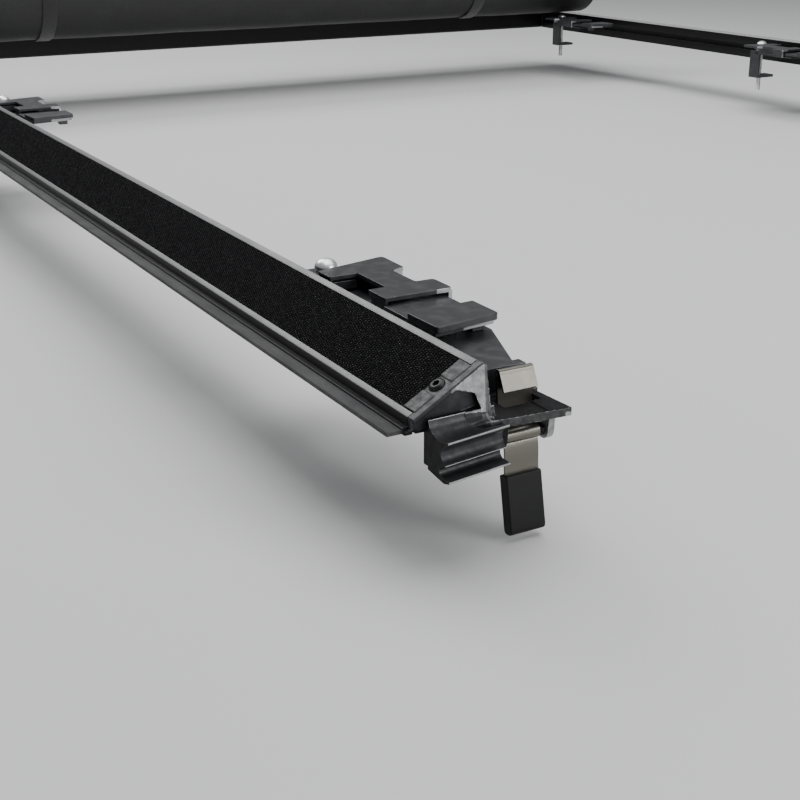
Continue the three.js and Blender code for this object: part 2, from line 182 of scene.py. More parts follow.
def set_stops(ramp: bpy.types.ColorRamp, stops: Sequence[tuple[float, float]]) -> None:
    """Give a ramp grey stops.

    Args:
        ramp: the ramp to change.
        stops: a position and a level for each stop, at least two.
    """
    for _ in stops[2:]:
        ramp.elements.new(0.5)
    for element, (position, level) in zip(ramp.elements, stops):
        element.position = position
        element.color = (level, level, level, 1.0)


class Surface(Tree):
    """A material under construction, in object coordinates."""

    def __init__(self, name: str) -> None:
        """Start a material with one Principled shader."""
        self.material = bpy.data.materials.new(name)
        self.material.use_nodes = True
        super().__init__(self.material.node_tree)
        self.shader = self.tree.nodes["Principled BSDF"]

    def constant(self, **values: float) -> None:
        """Set the shader's own sockets, named with _ for each space."""
        for key, value in values.items():
            self.shader.inputs[key.replace("_", " ")].default_value = value

    def feed(self, socket: str, wire: Wire) -> None:
        """Link a wire to one of the shader's sockets."""
        self.tree.links.new(wire.socket, self.shader.inputs[socket])

    def coordinates(self, stretch: Point3 = (1, 1, 1), turn: Point3 = (0, 0, 0)) -> Wire:
        """Object coordinates, turned and stretched.

        Args:
            stretch: how many times denser the pattern is along each axis.
            turn: rotation about each axis, in radians.

        Returns:
            The mapped vector.
        """
        source = self.node("ShaderNodeTexCoord", output="Object")
        return self.node("ShaderNodeMapping", {"vector_type": "POINT"},
                         {"Vector": source, "Rotation": turn, "Scale": stretch})

    def noise(self, size: float, detail: float = 2.0, stretch: Point3 = (1, 1, 1)) -> Wire:
        """Cloudy noise.

        Args:
            size: the width of its blotches in millimetres.
            detail: how many finer layers it has.
            stretch: how many times denser it is along each axis.

        Returns:
            A value from 0 to 1.
        """
        return self.node("ShaderNodeTexNoise", {"noise_dimensions": "3D"},
                         {"Vector": self.coordinates(stretch), "Scale": 1 / (size * MM),
                          "Detail": detail, "Roughness": 0.55}, "Fac")

    def cells(self, size: float, stretch: Point3 = (1, 1, 1)) -> Wire:
        """Rounded cells, 0 at their centres.

        Args:
            size: the cells' width in millimetres.
            stretch: how many times denser they are along each axis.

        Returns:
            The distance to the nearest centre.
        """
        return self.node("ShaderNodeTexVoronoi", {"feature": "F1"},
                         {"Vector": self.coordinates(stretch), "Scale": 1 / (size * MM)},
                         "Distance")

    def step(self, value: Wire, low: float, high: float) -> Wire:
        """A value that rises from 0 to 1 between two levels."""
        return self.node("ShaderNodeMapRange", {"interpolation_type": "SMOOTHSTEP"},
                         {"Value": value, "From Min": low, "From Max": high})

    def blend(self, factor: Any, first: Any, second: Any) -> Wire:
        """Mix two colours.

        Args:
            factor: a wire or a number, 0 for the first colour.
            first: a colour or a wire.
            second: a colour or a wire.

        Returns:
            The mixed colour.
        """
        tint = [c if isinstance(c, Wire) else (*c, 1.0) for c in (first, second)]
        return self.node("ShaderNodeMix", {"data_type": "RGBA"},
                         {0: factor, 6: tint[0], 7: tint[1]}, 2)

    def weave(self, place: Wire, thread: float) -> Wire:
        """Threads that cross over and under.

        Args:
            place: the vector that the cloth lies on.
            thread: the width of a thread's wave in millimetres.

        Returns:
            1 at the top of a thread, 0 between them.
        """
        split = self.node("ShaderNodeSeparateXYZ", {}, {0: place})
        across = Wire(self.tree, split.socket.node.outputs[1])
        turns = 2 * math.pi / (thread * MM)
        return (split * turns).sine() * (across * turns).sine() * 0.5 + 0.5

    def worn_edge(self, radius: float) -> Wire:
        """1 where the surface turns a sharp corner, 0 on its flats.

        Args:
            radius: how far from the corner the wear reaches, in millimetres.

        Returns:
            A mask.
        """
        round_normal = self.node("ShaderNodeBevel", {"samples": 4}, {"Radius": radius * MM})
        normal = self.node("ShaderNodeNewGeometry", output="Normal")
        facing = self.node("ShaderNodeVectorMath", {"operation": "DOT_PRODUCT"},
                           {0: round_normal, 1: normal}, "Value")
        return self.step(1 - facing, 0.01, 0.14)

    def relief(self, height: Wire, depth: float, strength: float = 1.0) -> None:
        """Bump the surface.

        Args:
            height: the relief, from 0 to 1.
            depth: its height in millimetres.
            strength: the Bump node's strength.
        """
        self.feed("Normal", self.node("ShaderNodeBump", {},
                                      {"Height": height, "Distance": depth * MM,
                                       "Strength": strength}))


# ---- finishes ----


@dataclass(frozen=True)
class Finish:
    """How one material looks, and the record's slot it stands for."""

    name: str
    slot: str
    colour: Colour
    roughness: float

    def wire(self, surface: Surface) -> None:
        """Wire the material; each finish has its own way."""
        raise NotImplementedError

    def shade(self, factor: float) -> Colour:
        """The finish's colour made lighter or darker."""
        return tuple(min(1.0, c * factor) for c in self.colour)

    def material(self) -> bpy.types.Material:
        """The finish's material, made the first time it is asked for."""
        found = bpy.data.materials.get(self.name)
        if found:
            return found
        surface = Surface(self.name)
        self.wire(surface)
        return surface.material


@dataclass(frozen=True)
class PowderCoat(Finish):
    """Satin black powder coat with a fine orange peel, rubbed lighter on its corners."""

    worn: Colour = (0.13, 0.13, 0.135)
    peel: float = 0.9

    def wire(self, surface: Surface) -> None:
        """Fine peel, faint dust and rubbed corners."""
        dust = surface.noise(38, 4)
        rub = surface.worn_edge(0.7) * surface.step(surface.noise(3.5, 3), 0.3, 0.62)
        base = surface.blend(surface.step(dust, 0.45, 0.8) * 0.55, self.colour,
                             self.shade(1.9))
        surface.feed("Base Color", surface.blend(rub * 0.75, base, self.worn))
        surface.feed("Roughness", self.roughness + (dust - 0.5) * 0.16 - rub * 0.08)
        surface.constant(Metallic=0.0, Specular_IOR_Level=0.18)
        surface.relief(surface.noise(self.peel, 2), 0.03, 0.5)


@dataclass(frozen=True)
class BareLand(Finish):
    """Aluminium left bare along an extrusion: die lines, small nicks and dull patches."""

    grain: Point3 = (0.012, 1, 1)

    def wire(self, surface: Surface) -> None:
        """Long die lines with nicks across them."""
        lines = surface.noise(0.55, 3, self.grain)
        nicks = surface.step(surface.noise(1.4, 4, (0.5, 1, 1)), 0.66, 0.76)
        dull = surface.noise(24, 3)
        bright = self.shade(1.28)
        base = surface.blend(lines, self.colour, bright)
        surface.feed("Base Color", surface.blend(nicks * 0.6, base, (0.09, 0.09, 0.092)))
        surface.feed("Roughness", self.roughness + (dull - 0.5) * 0.18 + nicks * 0.2
                     + (lines - 0.5) * 0.1)
        surface.constant(Metallic=0.85)
        surface.relief(lines + nicks * -0.8, 0.02, 0.6)


@dataclass(frozen=True)
class HookNylon(Finish):
    """Black moulded nylon hooks, each a little lighter or darker; the lightest are a painted
    highlight for the glints on their tips.
    """

    lift: float = 34.0

    def wire(self, surface: Surface) -> None:
        """Colour that changes from hook to hook, its light end a painted highlight."""
        patch = surface.noise(2.6, 1)
        shade = surface.step(patch, 0.36, 0.66)
        # The lifted colour is a painted highlight, standing for glints on the hooks' curls.
        light = self.shade(self.lift)
        surface.feed("Base Color", surface.blend(shade, self.colour, light))
        surface.feed("Roughness", self.roughness - shade * 0.12)
        surface.constant(Metallic=0.0, Specular_IOR_Level=0.6)


@dataclass(frozen=True)
class WovenTape(Finish):
    """Flat woven ground of the hook tape."""

    thread: float = 0.5

    def wire(self, surface: Surface) -> None:
        """Two sets of threads crossing."""
        weave = surface.weave(surface.coordinates(), self.thread)
        surface.feed("Base Color", surface.blend(weave, (0.002, 0.002, 0.002), self.colour))
        surface.feed("Roughness", self.roughness - weave * 0.1)
        surface.constant(Metallic=0.0, Specular_IOR_Level=0.12)
        surface.relief(weave, 0.15)


@dataclass(frozen=True)
class FoamStrip(Finish):
    """Grey closed-cell rubber with fine open cells on its skin."""

    def wire(self, surface: Surface) -> None:
        """Cells, handling marks and dust."""
        cells = surface.cells(0.55, (0.6, 1, 1))
        marks = surface.noise(14, 4, (0.35, 1, 1))
        pale = self.shade(1.55)
        deep = self.shade(0.45)
        base = surface.blend(surface.step(marks, 0.3, 0.75), self.colour, pale)
        surface.feed("Base Color", surface.blend(surface.step(cells, 0.62, 0.9), base, deep))
        surface.feed("Roughness", self.roughness - surface.step(marks, 0.3, 0.75) * 0.12)
        surface.relief(1 - cells, 0.12, 0.7)


@dataclass(frozen=True)
class DieCast(Finish):
    """Grey die casting: a faintly mottled skin, fine pits and burnished corners."""

    burnished: Colour = (0.66, 0.66, 0.65)
    contrast: float = 0.5
    bite: float = 0.03
    metal: float = 0.75

    def wire(self, surface: Surface) -> None:
        """Mottling at two sizes, pits and bright corners."""
        mottle = surface.step(surface.noise(5, 5), 0.3, 0.72)
        speck = surface.step(surface.noise(0.7, 3), 0.5, 0.85)
        pits = surface.step(surface.cells(1.1), 0.0, 0.14)
        corner = surface.worn_edge(0.45) * surface.step(surface.noise(1.3, 3), 0.22, 0.5)
        pale = self.shade(2.0)
        base = surface.blend(mottle * self.contrast, self.colour, pale)
        base = surface.blend(speck * self.contrast * 0.6, base,
                             self.shade(0.5))
        surface.feed("Base Color", surface.blend(corner, base, self.burnished))
        surface.feed("Roughness", self.roughness + (mottle - 0.5) * -0.1 - corner * 0.14
                     + speck * 0.08)
        surface.constant(Metallic=self.metal, Specular_IOR_Level=0.15 + self.metal * 0.4)
        surface.relief(surface.noise(0.8, 4) * 0.7 + pits * 0.5 + mottle * 0.2, self.bite,
                       0.6)


@dataclass(frozen=True)
class Stainless(Finish):
    """Warm satin stainless strip, brushed along its length."""

    brushing: Point3 = (1, 1, 0.05)

    def wire(self, surface: Surface) -> None:
        """Brushing with faint smears."""
        brush = surface.noise(0.22, 3, self.brushing)
        smear = surface.noise(9, 3)
        corner = surface.worn_edge(0.3)
        dim = self.shade(0.78)
        base = surface.blend(brush, dim, self.colour)
        surface.feed("Base Color", surface.blend(corner * 0.6, base, (0.86, 0.84, 0.8)))
        surface.feed("Roughness", self.roughness + (brush - 0.5) * 0.16
                     + (smear - 0.5) * 0.14)
        surface.constant(Metallic=1.0)
        surface.relief(brush, 0.008, 0.5)


@dataclass(frozen=True)
class MouldedRubber(Finish):
    """Black moulded rubber, satin, with a bloom of dust in places."""

    def wire(self, surface: Surface) -> None:
        """Fine moulded skin with a faint bloom."""
        bloom = surface.step(surface.noise(16, 4), 0.4, 0.85)
        rub = surface.worn_edge(1.0)
        pale = self.shade(2.2)
        surface.feed("Base Color", surface.blend(bloom * 0.5 + rub * 0.35, self.colour, pale))
        surface.feed("Roughness", self.roughness + bloom * 0.1 - rub * 0.12)
        surface.constant(Metallic=0.0, Specular_IOR_Level=0.25)
        surface.relief(surface.noise(0.45, 3), 0.02, 0.6)


@dataclass(frozen=True)
class TurnedSteel(Finish):
    """Plated steel, handled: dull film, bright rubs and small dark stains."""

    stain: Colour = (0.07, 0.066, 0.062)

    def wire(self, surface: Surface) -> None:
        """Stains over the plating, bright corners."""
        film = surface.noise(2.4, 4)
        stain = surface.step(film, 0.52, 0.75)
        corner = surface.worn_edge(0.3)
        base = surface.blend(stain * 0.8, self.colour, self.stain)
        pale = self.shade(1.5)
        surface.feed("Base Color", surface.blend(corner, base, pale))
        surface.feed("Roughness", self.roughness + stain * 0.2 - corner * 0.1)
        surface.constant(Metallic=1.0)
        surface.relief(surface.noise(0.6, 3), 0.012, 0.6)


@dataclass(frozen=True)
class CoatedPlate(Finish):
    """Cast plate under a thin dark coat that lets its texture through."""

    bare: Colour = (0.55, 0.56, 0.57)

    def wire(self, surface: Surface) -> None:
        """Cast texture, scuffs and thin corners."""
        scuff = surface.step(surface.noise(11, 5), 0.38, 0.78)
        corner = surface.worn_edge(0.5) * surface.step(surface.noise(3, 3), 0.3, 0.6)
        pale = self.shade(1.6)
        base = surface.blend(scuff, self.colour, pale)
        surface.feed("Base Color", surface.blend(corner * 0.55, base, self.bare))
        surface.feed("Roughness", self.roughness + (scuff - 0.5) * 0.14 - corner * 0.1)
        surface.constant(Metallic=0.45)
        surface.relief(surface.noise(0.7, 4) + scuff * 0.4, 0.045, 0.6)


@dataclass(frozen=True)
class GrainedVinyl(Finish):
    """Black vinyl with a fine leather grain."""

    def wire(self, surface: Surface) -> None:
        """Pebbled grain, wiped shinier here and there."""
        pebble = surface.cells(1.5)
        wiped = surface.noise(70, 3)
        crease = surface.step(pebble, 0.35, 0.75)
        pale = self.shade(1.7)
        base = surface.blend(surface.step(wiped, 0.35, 0.75), self.colour, pale)
        surface.feed("Base Color", surface.blend(crease * 0.5, base, (0.005, 0.005, 0.005)))
        surface.feed("Roughness", self.roughness + (wiped - 0.5) * 0.18 + crease * 0.1)
        surface.constant(Metallic=0.0)
        surface.relief(1 - pebble, 0.14, 0.6)


@dataclass(frozen=True)
class ThreadWeave(Finish):
    """Cloth woven from round threads, patterned on the piece's own UV map in metres."""

    thread: float = 0.9
    shine: float = 0.25

    def wire(self, surface: Surface) -> None:
        """Over-and-under threads with uneven dye."""
        over = surface.weave(surface.node("ShaderNodeTexCoord", output="UV"), self.thread)
        dye = surface.noise(45, 4)
        deep = self.shade(0.35)
        pale = self.shade(1.6)
        base = surface.blend(surface.step(dye, 0.3, 0.8), self.colour, pale)
        surface.feed("Base Color", surface.blend(over, deep, base))
        surface.feed("Roughness", self.roughness - over * 0.12)
        surface.constant(Metallic=0.0, Sheen_Weight=self.shine)
        surface.relief(over, self.thread * 0.3, 0.7)


@dataclass(frozen=True)
class LoopPile(Finish):
    """Brushed loop pile of a touch fastener."""

    def wire(self, surface: Surface) -> None:
        """Tangled loops."""
        tangle = surface.noise(1.1, 5)
        deep = self.shade(0.4)
        surface.feed("Base Color", surface.blend(tangle, deep, self.colour))
        surface.feed("Roughness", self.roughness - tangle * 0.08)
        surface.constant(Sheen_Weight=0.5)
        surface.relief(tangle, 0.5, 0.8)


@dataclass(frozen=True)
class MillAluminium(Finish):
    """Extruded bar as it left the mill, lined along the cover's width."""

    def wire(self, surface: Surface) -> None:
        """Die lines and a thin oxide bloom."""
        lines = surface.noise(0.6, 3, (1, 0.01, 1))
        oxide = surface.step(surface.noise(20, 4), 0.4, 0.8)
        dim = self.shade(0.72)
        surface.feed("Base Color", surface.blend(lines * 0.7 + oxide * 0.2, self.colour, dim))
        surface.feed("Roughness", self.roughness + oxide * 0.12)
        surface.constant(Metallic=0.95)
        surface.relief(lines, 0.02, 0.5)


@dataclass(frozen=True)
class MouldedPlastic(Finish):
    """Black moulded plastic with a spark-eroded texture."""

    def wire(self, surface: Surface) -> None:
        """Fine texture, polished where it is handled."""
        texture = surface.noise(0.5, 3)
        rub = surface.worn_edge(0.6)
        haze = surface.noise(18, 3)
        pale = self.shade(2.4)
        surface.feed("Base Color", surface.blend(rub * 0.6 + haze * 0.2, self.colour, pale))
        surface.feed("Roughness", self.roughness + (haze - 0.5) * 0.12 - rub * 0.14)
        surface.constant(Metallic=0.0)
        surface.relief(texture, 0.035, 0.6)


@dataclass(frozen=True)
class PaleFloor(Finish):
    """Plain pale sweep under the part."""

    def wire(self, surface: Surface) -> None:
        """Almost even, with the faintest cloud."""
        cloud = surface.noise(600, 2)
        pale = self.shade(1.03)
        surface.feed("Base Color", surface.blend(cloud, self.colour, pale))
        surface.constant(Roughness=self.roughness, Specular_IOR_Level=0.2)


RAIL_BLACK = PowderCoat("rail_powder_coat", "rail", (0.007, 0.007, 0.0075), 0.4)
RAIL_BARE = BareLand("rail_bare_land", "rail", (0.14, 0.14, 0.142), 0.46)
TAPE_GROUND = WovenTape("hook_tape_ground", "hook", (0.003, 0.003, 0.0033), 0.97)
TAPE_HOOKS = HookNylon("hook_tape_hooks", "hook", (0.0045, 0.0045, 0.005), 0.4)
SEAL_FOAM = FoamStrip("seal_foam", "seal", (0.05, 0.05, 0.051), 0.85)
CAST_DARK = DieCast("die_cast_dark", "casting", (0.036, 0.037, 0.039), 0.42,
                    (0.4, 0.4, 0.395))
CAST_PALE = DieCast("die_cast_pale", "casting", (0.04, 0.0405, 0.0415), 0.46,
                    (0.5, 0.5, 0.49), 1.0, 0.07)
# The pale facet copy of the die cast is a painted highlight on the gusset's rear facet and the
# inboard ear.
CAST_PAINTED_HIGHLIGHT = DieCast("die_cast_facet", "casting", (0.22, 0.222, 0.225), 0.42,
                    (0.8, 0.8, 0.79), 0.9, 0.05)
# The black copy of the die cast is painted shade on the outboard end and the base plate's upward
# faces.
CAST_PAINTED_SHADE = DieCast("die_cast_black", "casting", (0.007, 0.007, 0.0075), 0.6,
                    (0.1, 0.1, 0.1), 0.5, 0.03, 0.0)
# The lighter wall copy of the die cast is painted light on the wall's rear-facing faces.
CAST_WALL_PAINTED_LIGHT = DieCast("die_cast_wall", "casting", (0.1, 0.101, 0.103), 0.44,
                    (0.7, 0.7, 0.69), 0.7, 0.04)
# The bright edge copy of the die cast is a painted highlight on the lips' tips.
CAST_TIP_HIGHLIGHT = DieCast("die_cast_edge", "casting", (0.24, 0.242, 0.245), 0.4,
                    (0.8, 0.8, 0.79), 0.4, 0.03)
STRIP_STAINLESS = Stainless("satin_stainless", "stainless", (0.165, 0.156, 0.138), 0.33)
# The darker copy of the stainless is painted shade on the lever's front leg under the hook.
STRIP_PAINTED_SHADE = Stainless("stainless_painted_shade", "stainless", (0.06, 0.057, 0.05), 0.4)
GRIP_RUBBER = MouldedRubber("grip_rubber", "rubber", (0.004, 0.004, 0.0044), 0.44)
DARK_STEEL = TurnedSteel("screw_steel", "steel", (0.035, 0.035, 0.036), 0.34)
BRIGHT_ZINC = TurnedSteel("bright_zinc", "zinc", (0.95, 0.955, 0.96), 0.34, (0.7, 0.69, 0.66))
PLATE_GREY = CoatedPlate("plate_coat", "plate", (0.048, 0.05, 0.053), 0.42)
# The bare plate finish is partly a painted highlight on rear-facing faces that catch the light
# from the rear.
PLATE_BARE_HIGHLIGHT = BareLand("plate_bare_rim_highlight", "plate", (0.34, 0.35, 0.36), 0.38, (1, 0.05, 1))
VINYL_FACE = GrainedVinyl("vinyl_face", "vinyl", (0.0125, 0.0125, 0.0135), 0.5)
VINYL_BACK = ThreadWeave("vinyl_backing", "vinyl", (0.022, 0.022, 0.024), 0.78)
EDGE_PILE = LoopPile("edge_loop_pile", "vinyl", (0.03, 0.03, 0.032), 0.95)
BOW_ALUMINIUM = MillAluminium("bow_aluminium", "aluminium", (0.56, 0.565, 0.575), 0.36)
STRAP_WEBBING = ThreadWeave("strap_webbing", "webbing", (0.018, 0.018, 0.02), 0.72, 1.6, 0.3)
BLACK_PLASTIC = MouldedPlastic("black_plastic", "plastic", (0.014, 0.014, 0.015), 0.38)
FLOOR_PALE = PaleFloor("pale_floor", "", (0.78, 0.78, 0.775), 0.7)


# ---- places ----


class Side(Enum):
    """Which rail a piece belongs to; its value is the sign of the rail's world Y."""

    LEFT = -1
    RIGHT = 1

    @property
    def word(self) -> str:
        """The side as it stands in names."""
        return self.name.lower()

    def world(self, x: float, y: float, z: float) -> Vector:
        """A point of this side's frame, in world metres."""
        return Vector((RAIL_END_X + x, self.value * (RAIL_EDGE_Y - y), z)) * MM


def side_frame(point: Vector) -> Point3:
    """A world point in its own side's frame, in millimetres."""
    return point.x / MM - RAIL_END_X, RAIL_EDGE_Y - abs(point.y) / MM, point.z / MM


def middle_frame(x: float, y: float, z: float) -> Vector:
    """A point given in world millimetres, in metres."""
    return Vector((x, y, z)) * MM


def along_x(a: float, b: float, s: float) -> Point3:
    """Outline in (y, z), pulled along x."""
    return s, a, b


def along_y(a: float, b: float, s: float) -> Point3:
    """Outline in (x, z), pulled along y."""
    return a, s, b


def along_z(a: float, b: float, s: float) -> Point3:
    """Outline in (x, y), pulled along z."""
    return a, b, s


def on_slope(down: float, out: float = 0.0) -> Point2:
    """A point of the rail's sloped face.

    Args:
        down: distance down the slope from the inboard top edge.
        out: height above the face.

    Returns:
        y and z in the side frame.
    """
    return (-down * math.cos(SLOPE_ANGLE) - out * math.sin(SLOPE_ANGLE),
            RAIL_TOP - down * math.sin(SLOPE_ANGLE) + out * math.cos(SLOPE_ANGLE))


def slope_of(y: float, z: float) -> Point2:
    """How far down the sloped face a point lies, and how high above it."""
    drop = RAIL_TOP - z
    return (-y * math.cos(SLOPE_ANGLE) + drop * math.sin(SLOPE_ANGLE),
            -y * math.sin(SLOPE_ANGLE) - drop * math.cos(SLOPE_ANGLE))


def softened(outline: Sequence[Sequence[float]], radius: float = 0.0,
             steps: int = 3) -> list[Point2]:
    """An outline with its corners rounded.

    Args:
        outline: corners as (a, b), or (a, b, radius) where one has a radius of its own.
        radius: the radius of the other corners.
        steps: how many chords each corner gets.

    Returns:
        The new outline.
    """
    result: list[Point2] = []
    count = len(outline)
    for i, corner in enumerate(outline):
        here = Vector(corner[:2])
        before = Vector(outline[i - 1][:2]) - here
        after = Vector(outline[(i + 1) % count][:2]) - here
        wanted = corner[2] if len(corner) > 2 else radius
        turn = before.angle(after)
        if wanted <= 0 or turn > math.radians(172):
            result.append((here.x, here.y))
            continue
        back = wanted / math.tan(turn / 2)
        back = min(back, before.length * 0.48, after.length * 0.48)
        start = here + before.normalized() * back
        end = here + after.normalized() * back
        for k in range(steps + 1):
            t = k / steps
            point = start * (1 - t) ** 2 + here * (2 * t * (1 - t)) + end * t * t
            result.append((point.x, point.y))
    return result


def arc(centre: Point2, radius: float, start: float, stop: float, steps: int) -> list[Point2]:
    """Points of an arc, its angles in degrees."""
    angles = [math.radians(start + (stop - start) * i / steps) for i in range(steps + 1)]
    return [(centre[0] + radius * math.cos(t), centre[1] + radius * math.sin(t))
            for t in angles]


def curved(points: Sequence[Point2], steps: int = 6) -> list[Point2]:
    """A smooth open curve through points.

    Args:
        points: what it passes through.
        steps: how many chords lie between two of them.

    Returns:
        Points of a Catmull-Rom curve.
    """
    knots = [Vector(p) for p in points]
    knots = [knots[0] * 2 - knots[1], *knots, knots[-1] * 2 - knots[-2]]
    result = []
    for a, b, c, d in zip(knots, knots[1:], knots[2:], knots[3:]):
        for k in range(steps):
            t = k / steps
            result.append(((2 * b) + (c - a) * t + (2 * a - 5 * b + 4 * c - d) * t * t
                           + (3 * b - a - 3 * c + d) * t ** 3) / 2)
    result.append(knots[-2])
    return [(p.x, p.y) for p in result]


def ribbon(path: Sequence[Point2], thickness: float) -> list[Point2]:
    """The outline of a strip of even thickness that follows a path."""
    left, right = [], []
    for i, (a, b) in enumerate(path):
        before, after = path[max(i - 1, 0)], path[min(i + 1, len(path) - 1)]
        run = Vector((after[0] - before[0], after[1] - before[1])).normalized()
        left.append((a - run.y * thickness / 2, b + run.x * thickness / 2))
        right.append((a + run.y * thickness / 2, b - run.x * thickness / 2))
    return left + right[::-1]


# ---- meshes ----


class Shape:
    """A mesh under construction, drawn in millimetres."""

    def __init__(self) -> None:
        """Start with nothing."""
        self.points: list[Point3] = []
        self.faces: list[list[int]] = []

    def add(self, points: Sequence[Point3], faces: Sequence[Sequence[int]]) -> "Shape":
        """Add points, and faces that count from the first of them."""
        first = len(self.points)
        self.points.extend(points)
        self.faces.extend([[first + i for i in face] for face in faces])
        return self

    def prism(self, outline: Sequence[Point2], place: Place, low: float,
              high: float) -> "Shape":
        """Pull an outline from one level to another.

        Args:
            outline: its corners, in order.
            place: gives the point for two outline values and a level.
            low: the first level.
            high: the last level.

        Returns:
            This shape.
        """
        n = len(outline)
        points = [place(a, b, s) for s in (low, high) for a, b in outline]
        faces = [[i, (i + 1) % n, n + (i + 1) % n, n + i] for i in range(n)]
        return self.add(points, faces + [list(range(n))[::-1], list(range(n, 2 * n))])

    def block(self, xs: Point2, ys: Point2, zs: Point2) -> "Shape":
        """Add a square block between pairs of limits."""
        outline = [(xs[0], ys[0]), (xs[1], ys[0]), (xs[1], ys[1]), (xs[0], ys[1])]
        return self.prism(outline, along_z, *zs)

    def rings(self, rings: Sequence[Sequence[Point3]], capped: bool = True,
              closed: bool = False) -> "Shape":
        """Skin a row of rings that have the same number of points.

        Args:
            rings: the rings in order.
            capped: whether the first and last ring are closed with a face.
            closed: whether the last ring joins the first.

        Returns:
            This shape.
        """
        n = len(rings[0])
        pairs = [(k, (k + 1) % len(rings)) for k in range(len(rings) - (not closed))]
        faces = [[a * n + i, a * n + (i + 1) % n, b * n + (i + 1) % n, b * n + i]
                 for a, b in pairs for i in range(n)]
        if capped and not closed:
            last = (len(rings) - 1) * n
            faces += [list(range(n))[::-1], list(range(last, last + n))]
        return self.add([p for ring in rings for p in ring], faces)

    def turned(self, profile: Sequence[Point2], origin: Vector, axis: Vector,
               sides: int = 32, corners: int = 0, keyed: int = 0) -> "Shape":
        """Turn a profile about an axis.

        Args:
            profile: radius and height along the axis for each ring.
            origin: where the axis starts.
            axis: the axis' direction.
            sides: points in each ring.
            corners: how many corners the last rings have, 0 for round.
            keyed: how many of the last rings have those corners.

        Returns:
            This shape.
        """
        axis = axis.normalized()
        across = axis.orthogonal().normalized()
        other = axis.cross(across)
        rings = []
        for k, (radius, height) in enumerate(profile):
            ring = []
            for i in range(sides):
                t = 2 * math.pi * i / sides
                reach = radius
                if corners and k >= len(profile) - keyed:
                    part = (t % (2 * math.pi / corners)) - math.pi / corners
                    reach = radius * math.cos(math.pi / corners) / math.cos(part)
                point = (origin + axis * height
                         + (across * math.cos(t) + other * math.sin(t)) * reach)
                ring.append(tuple(point))
            rings.append(ring)
        return self.rings(rings)

    def tube(self, path: Sequence[Vector], radius: float, sides: int = 10) -> "Shape":
        """Sweep a round wire along a path.

        Args:
            path: the wire's centre line.
            radius: the wire's radius.
            sides: points in each ring.

        Returns:
            This shape.
        """
        rings = []
        across = None
        for i, point in enumerate(path):
            run = (path[min(i + 1, len(path) - 1)] - path[max(i - 1, 0)]).normalized()
            across = run.orthogonal() if across is None else across - run * across.dot(run)
            across.normalize()
            other = run.cross(across)
            rings.append([tuple(point + (across * math.cos(t) + other * math.sin(t)) * radius)
                          for t in (2 * math.pi * k / sides for k in range(sides))])
        return self.rings(rings)

    def placed(self, name: str, world: Callable[..., Vector], *finishes: Finish,
               merge: float = 0.0) -> bpy.types.Object:
        """Make the shape an object.

        Args:
            name: the object's name.
            world: gives the world point for x, y and z in millimetres.
            finishes: its finishes; the first is used on every face.
            merge: points closer than this, in millimetres, become one.

        Returns:
            The object, at the origin, with its place in its mesh.
        """
        mesh = bpy.data.meshes.new(name)
        mesh.from_pydata([world(*p) for p in self.points], [], self.faces)
        work = bmesh.new()
        work.from_mesh(mesh)
        if merge:
            bmesh.ops.remove_doubles(work, verts=work.verts, dist=merge * MM)
        bmesh.ops.recalc_face_normals(work, faces=work.faces)
        work.to_mesh(mesh)
        work.free()
        return as_object(name, mesh, *finishes)


def as_object(name: str, mesh: bpy.types.Mesh, *finishes: Finish) -> bpy.types.Object:
    """Put a mesh in the scene with its finishes."""
    mesh.materials.clear()
    for finish in finishes:
        mesh.materials.append(finish.material())
    piece = bpy.data.objects.new(name, mesh)
    bpy.context.scene.collection.objects.link(piece)
    return piece


def settled(piece: bpy.types.Object, sharp: float = 40.0) -> bpy.types.Object:
    """Apply a piece's modifiers and shade it smooth up to an angle.

    Args:
        piece: the piece to change.
        sharp: edges sharper than this many degrees stay sharp.

    Returns:
        The same piece.
    """
    graph = bpy.context.evaluated_depsgraph_get()
    mesh = bpy.data.meshes.new_from_object(piece.evaluated_get(graph))
    old = piece.data
    piece.modifiers.clear()
    piece.data = mesh
    bpy.data.meshes.remove(old)
    mesh.shade_smooth()
    if not mesh.has_custom_normals:
        mesh.set_sharp_from_angle(angle=math.radians(sharp))
    return piece


def ruled(piece: bpy.types.Object, planes: Sequence[tuple[Vector, Vector]]) -> None:
    """Cut a piece's faces along planes, so that two finishes meet on a straight line.

    Args:
        piece: the piece to change.
        planes: a point and a normal for each.
    """
    mesh = bmesh.new()
    mesh.from_mesh(piece.data)
    for point, normal in planes:
        bmesh.ops.bisect_plane(mesh, geom=[*mesh.verts, *mesh.edges, *mesh.faces],
                               plane_co=point, plane_no=normal)
    mesh.to_mesh(piece.data)
    mesh.free()


def broken_edges(piece: bpy.types.Object, width: float, segments: int = 2,
                 angle: float = 32.0) -> bpy.types.Object:
    """Round a piece's edges.

    Args:
        piece: the piece to change.
        width: how wide the rounding is, in millimetres.
        segments: how many strips it has.
        angle: only edges sharper than this many degrees are rounded.

    Returns:
        The same piece, settled.
    """
    piece.data.shade_smooth()
    bevel = piece.modifiers.new("edges", "BEVEL")
    bevel.width = width * MM
    bevel.segments = segments
    bevel.limit_method = "ANGLE"
    bevel.angle_limit = math.radians(angle)
    bevel.harden_normals = True
    bevel.use_clamp_overlap = True
    return settled(piece)


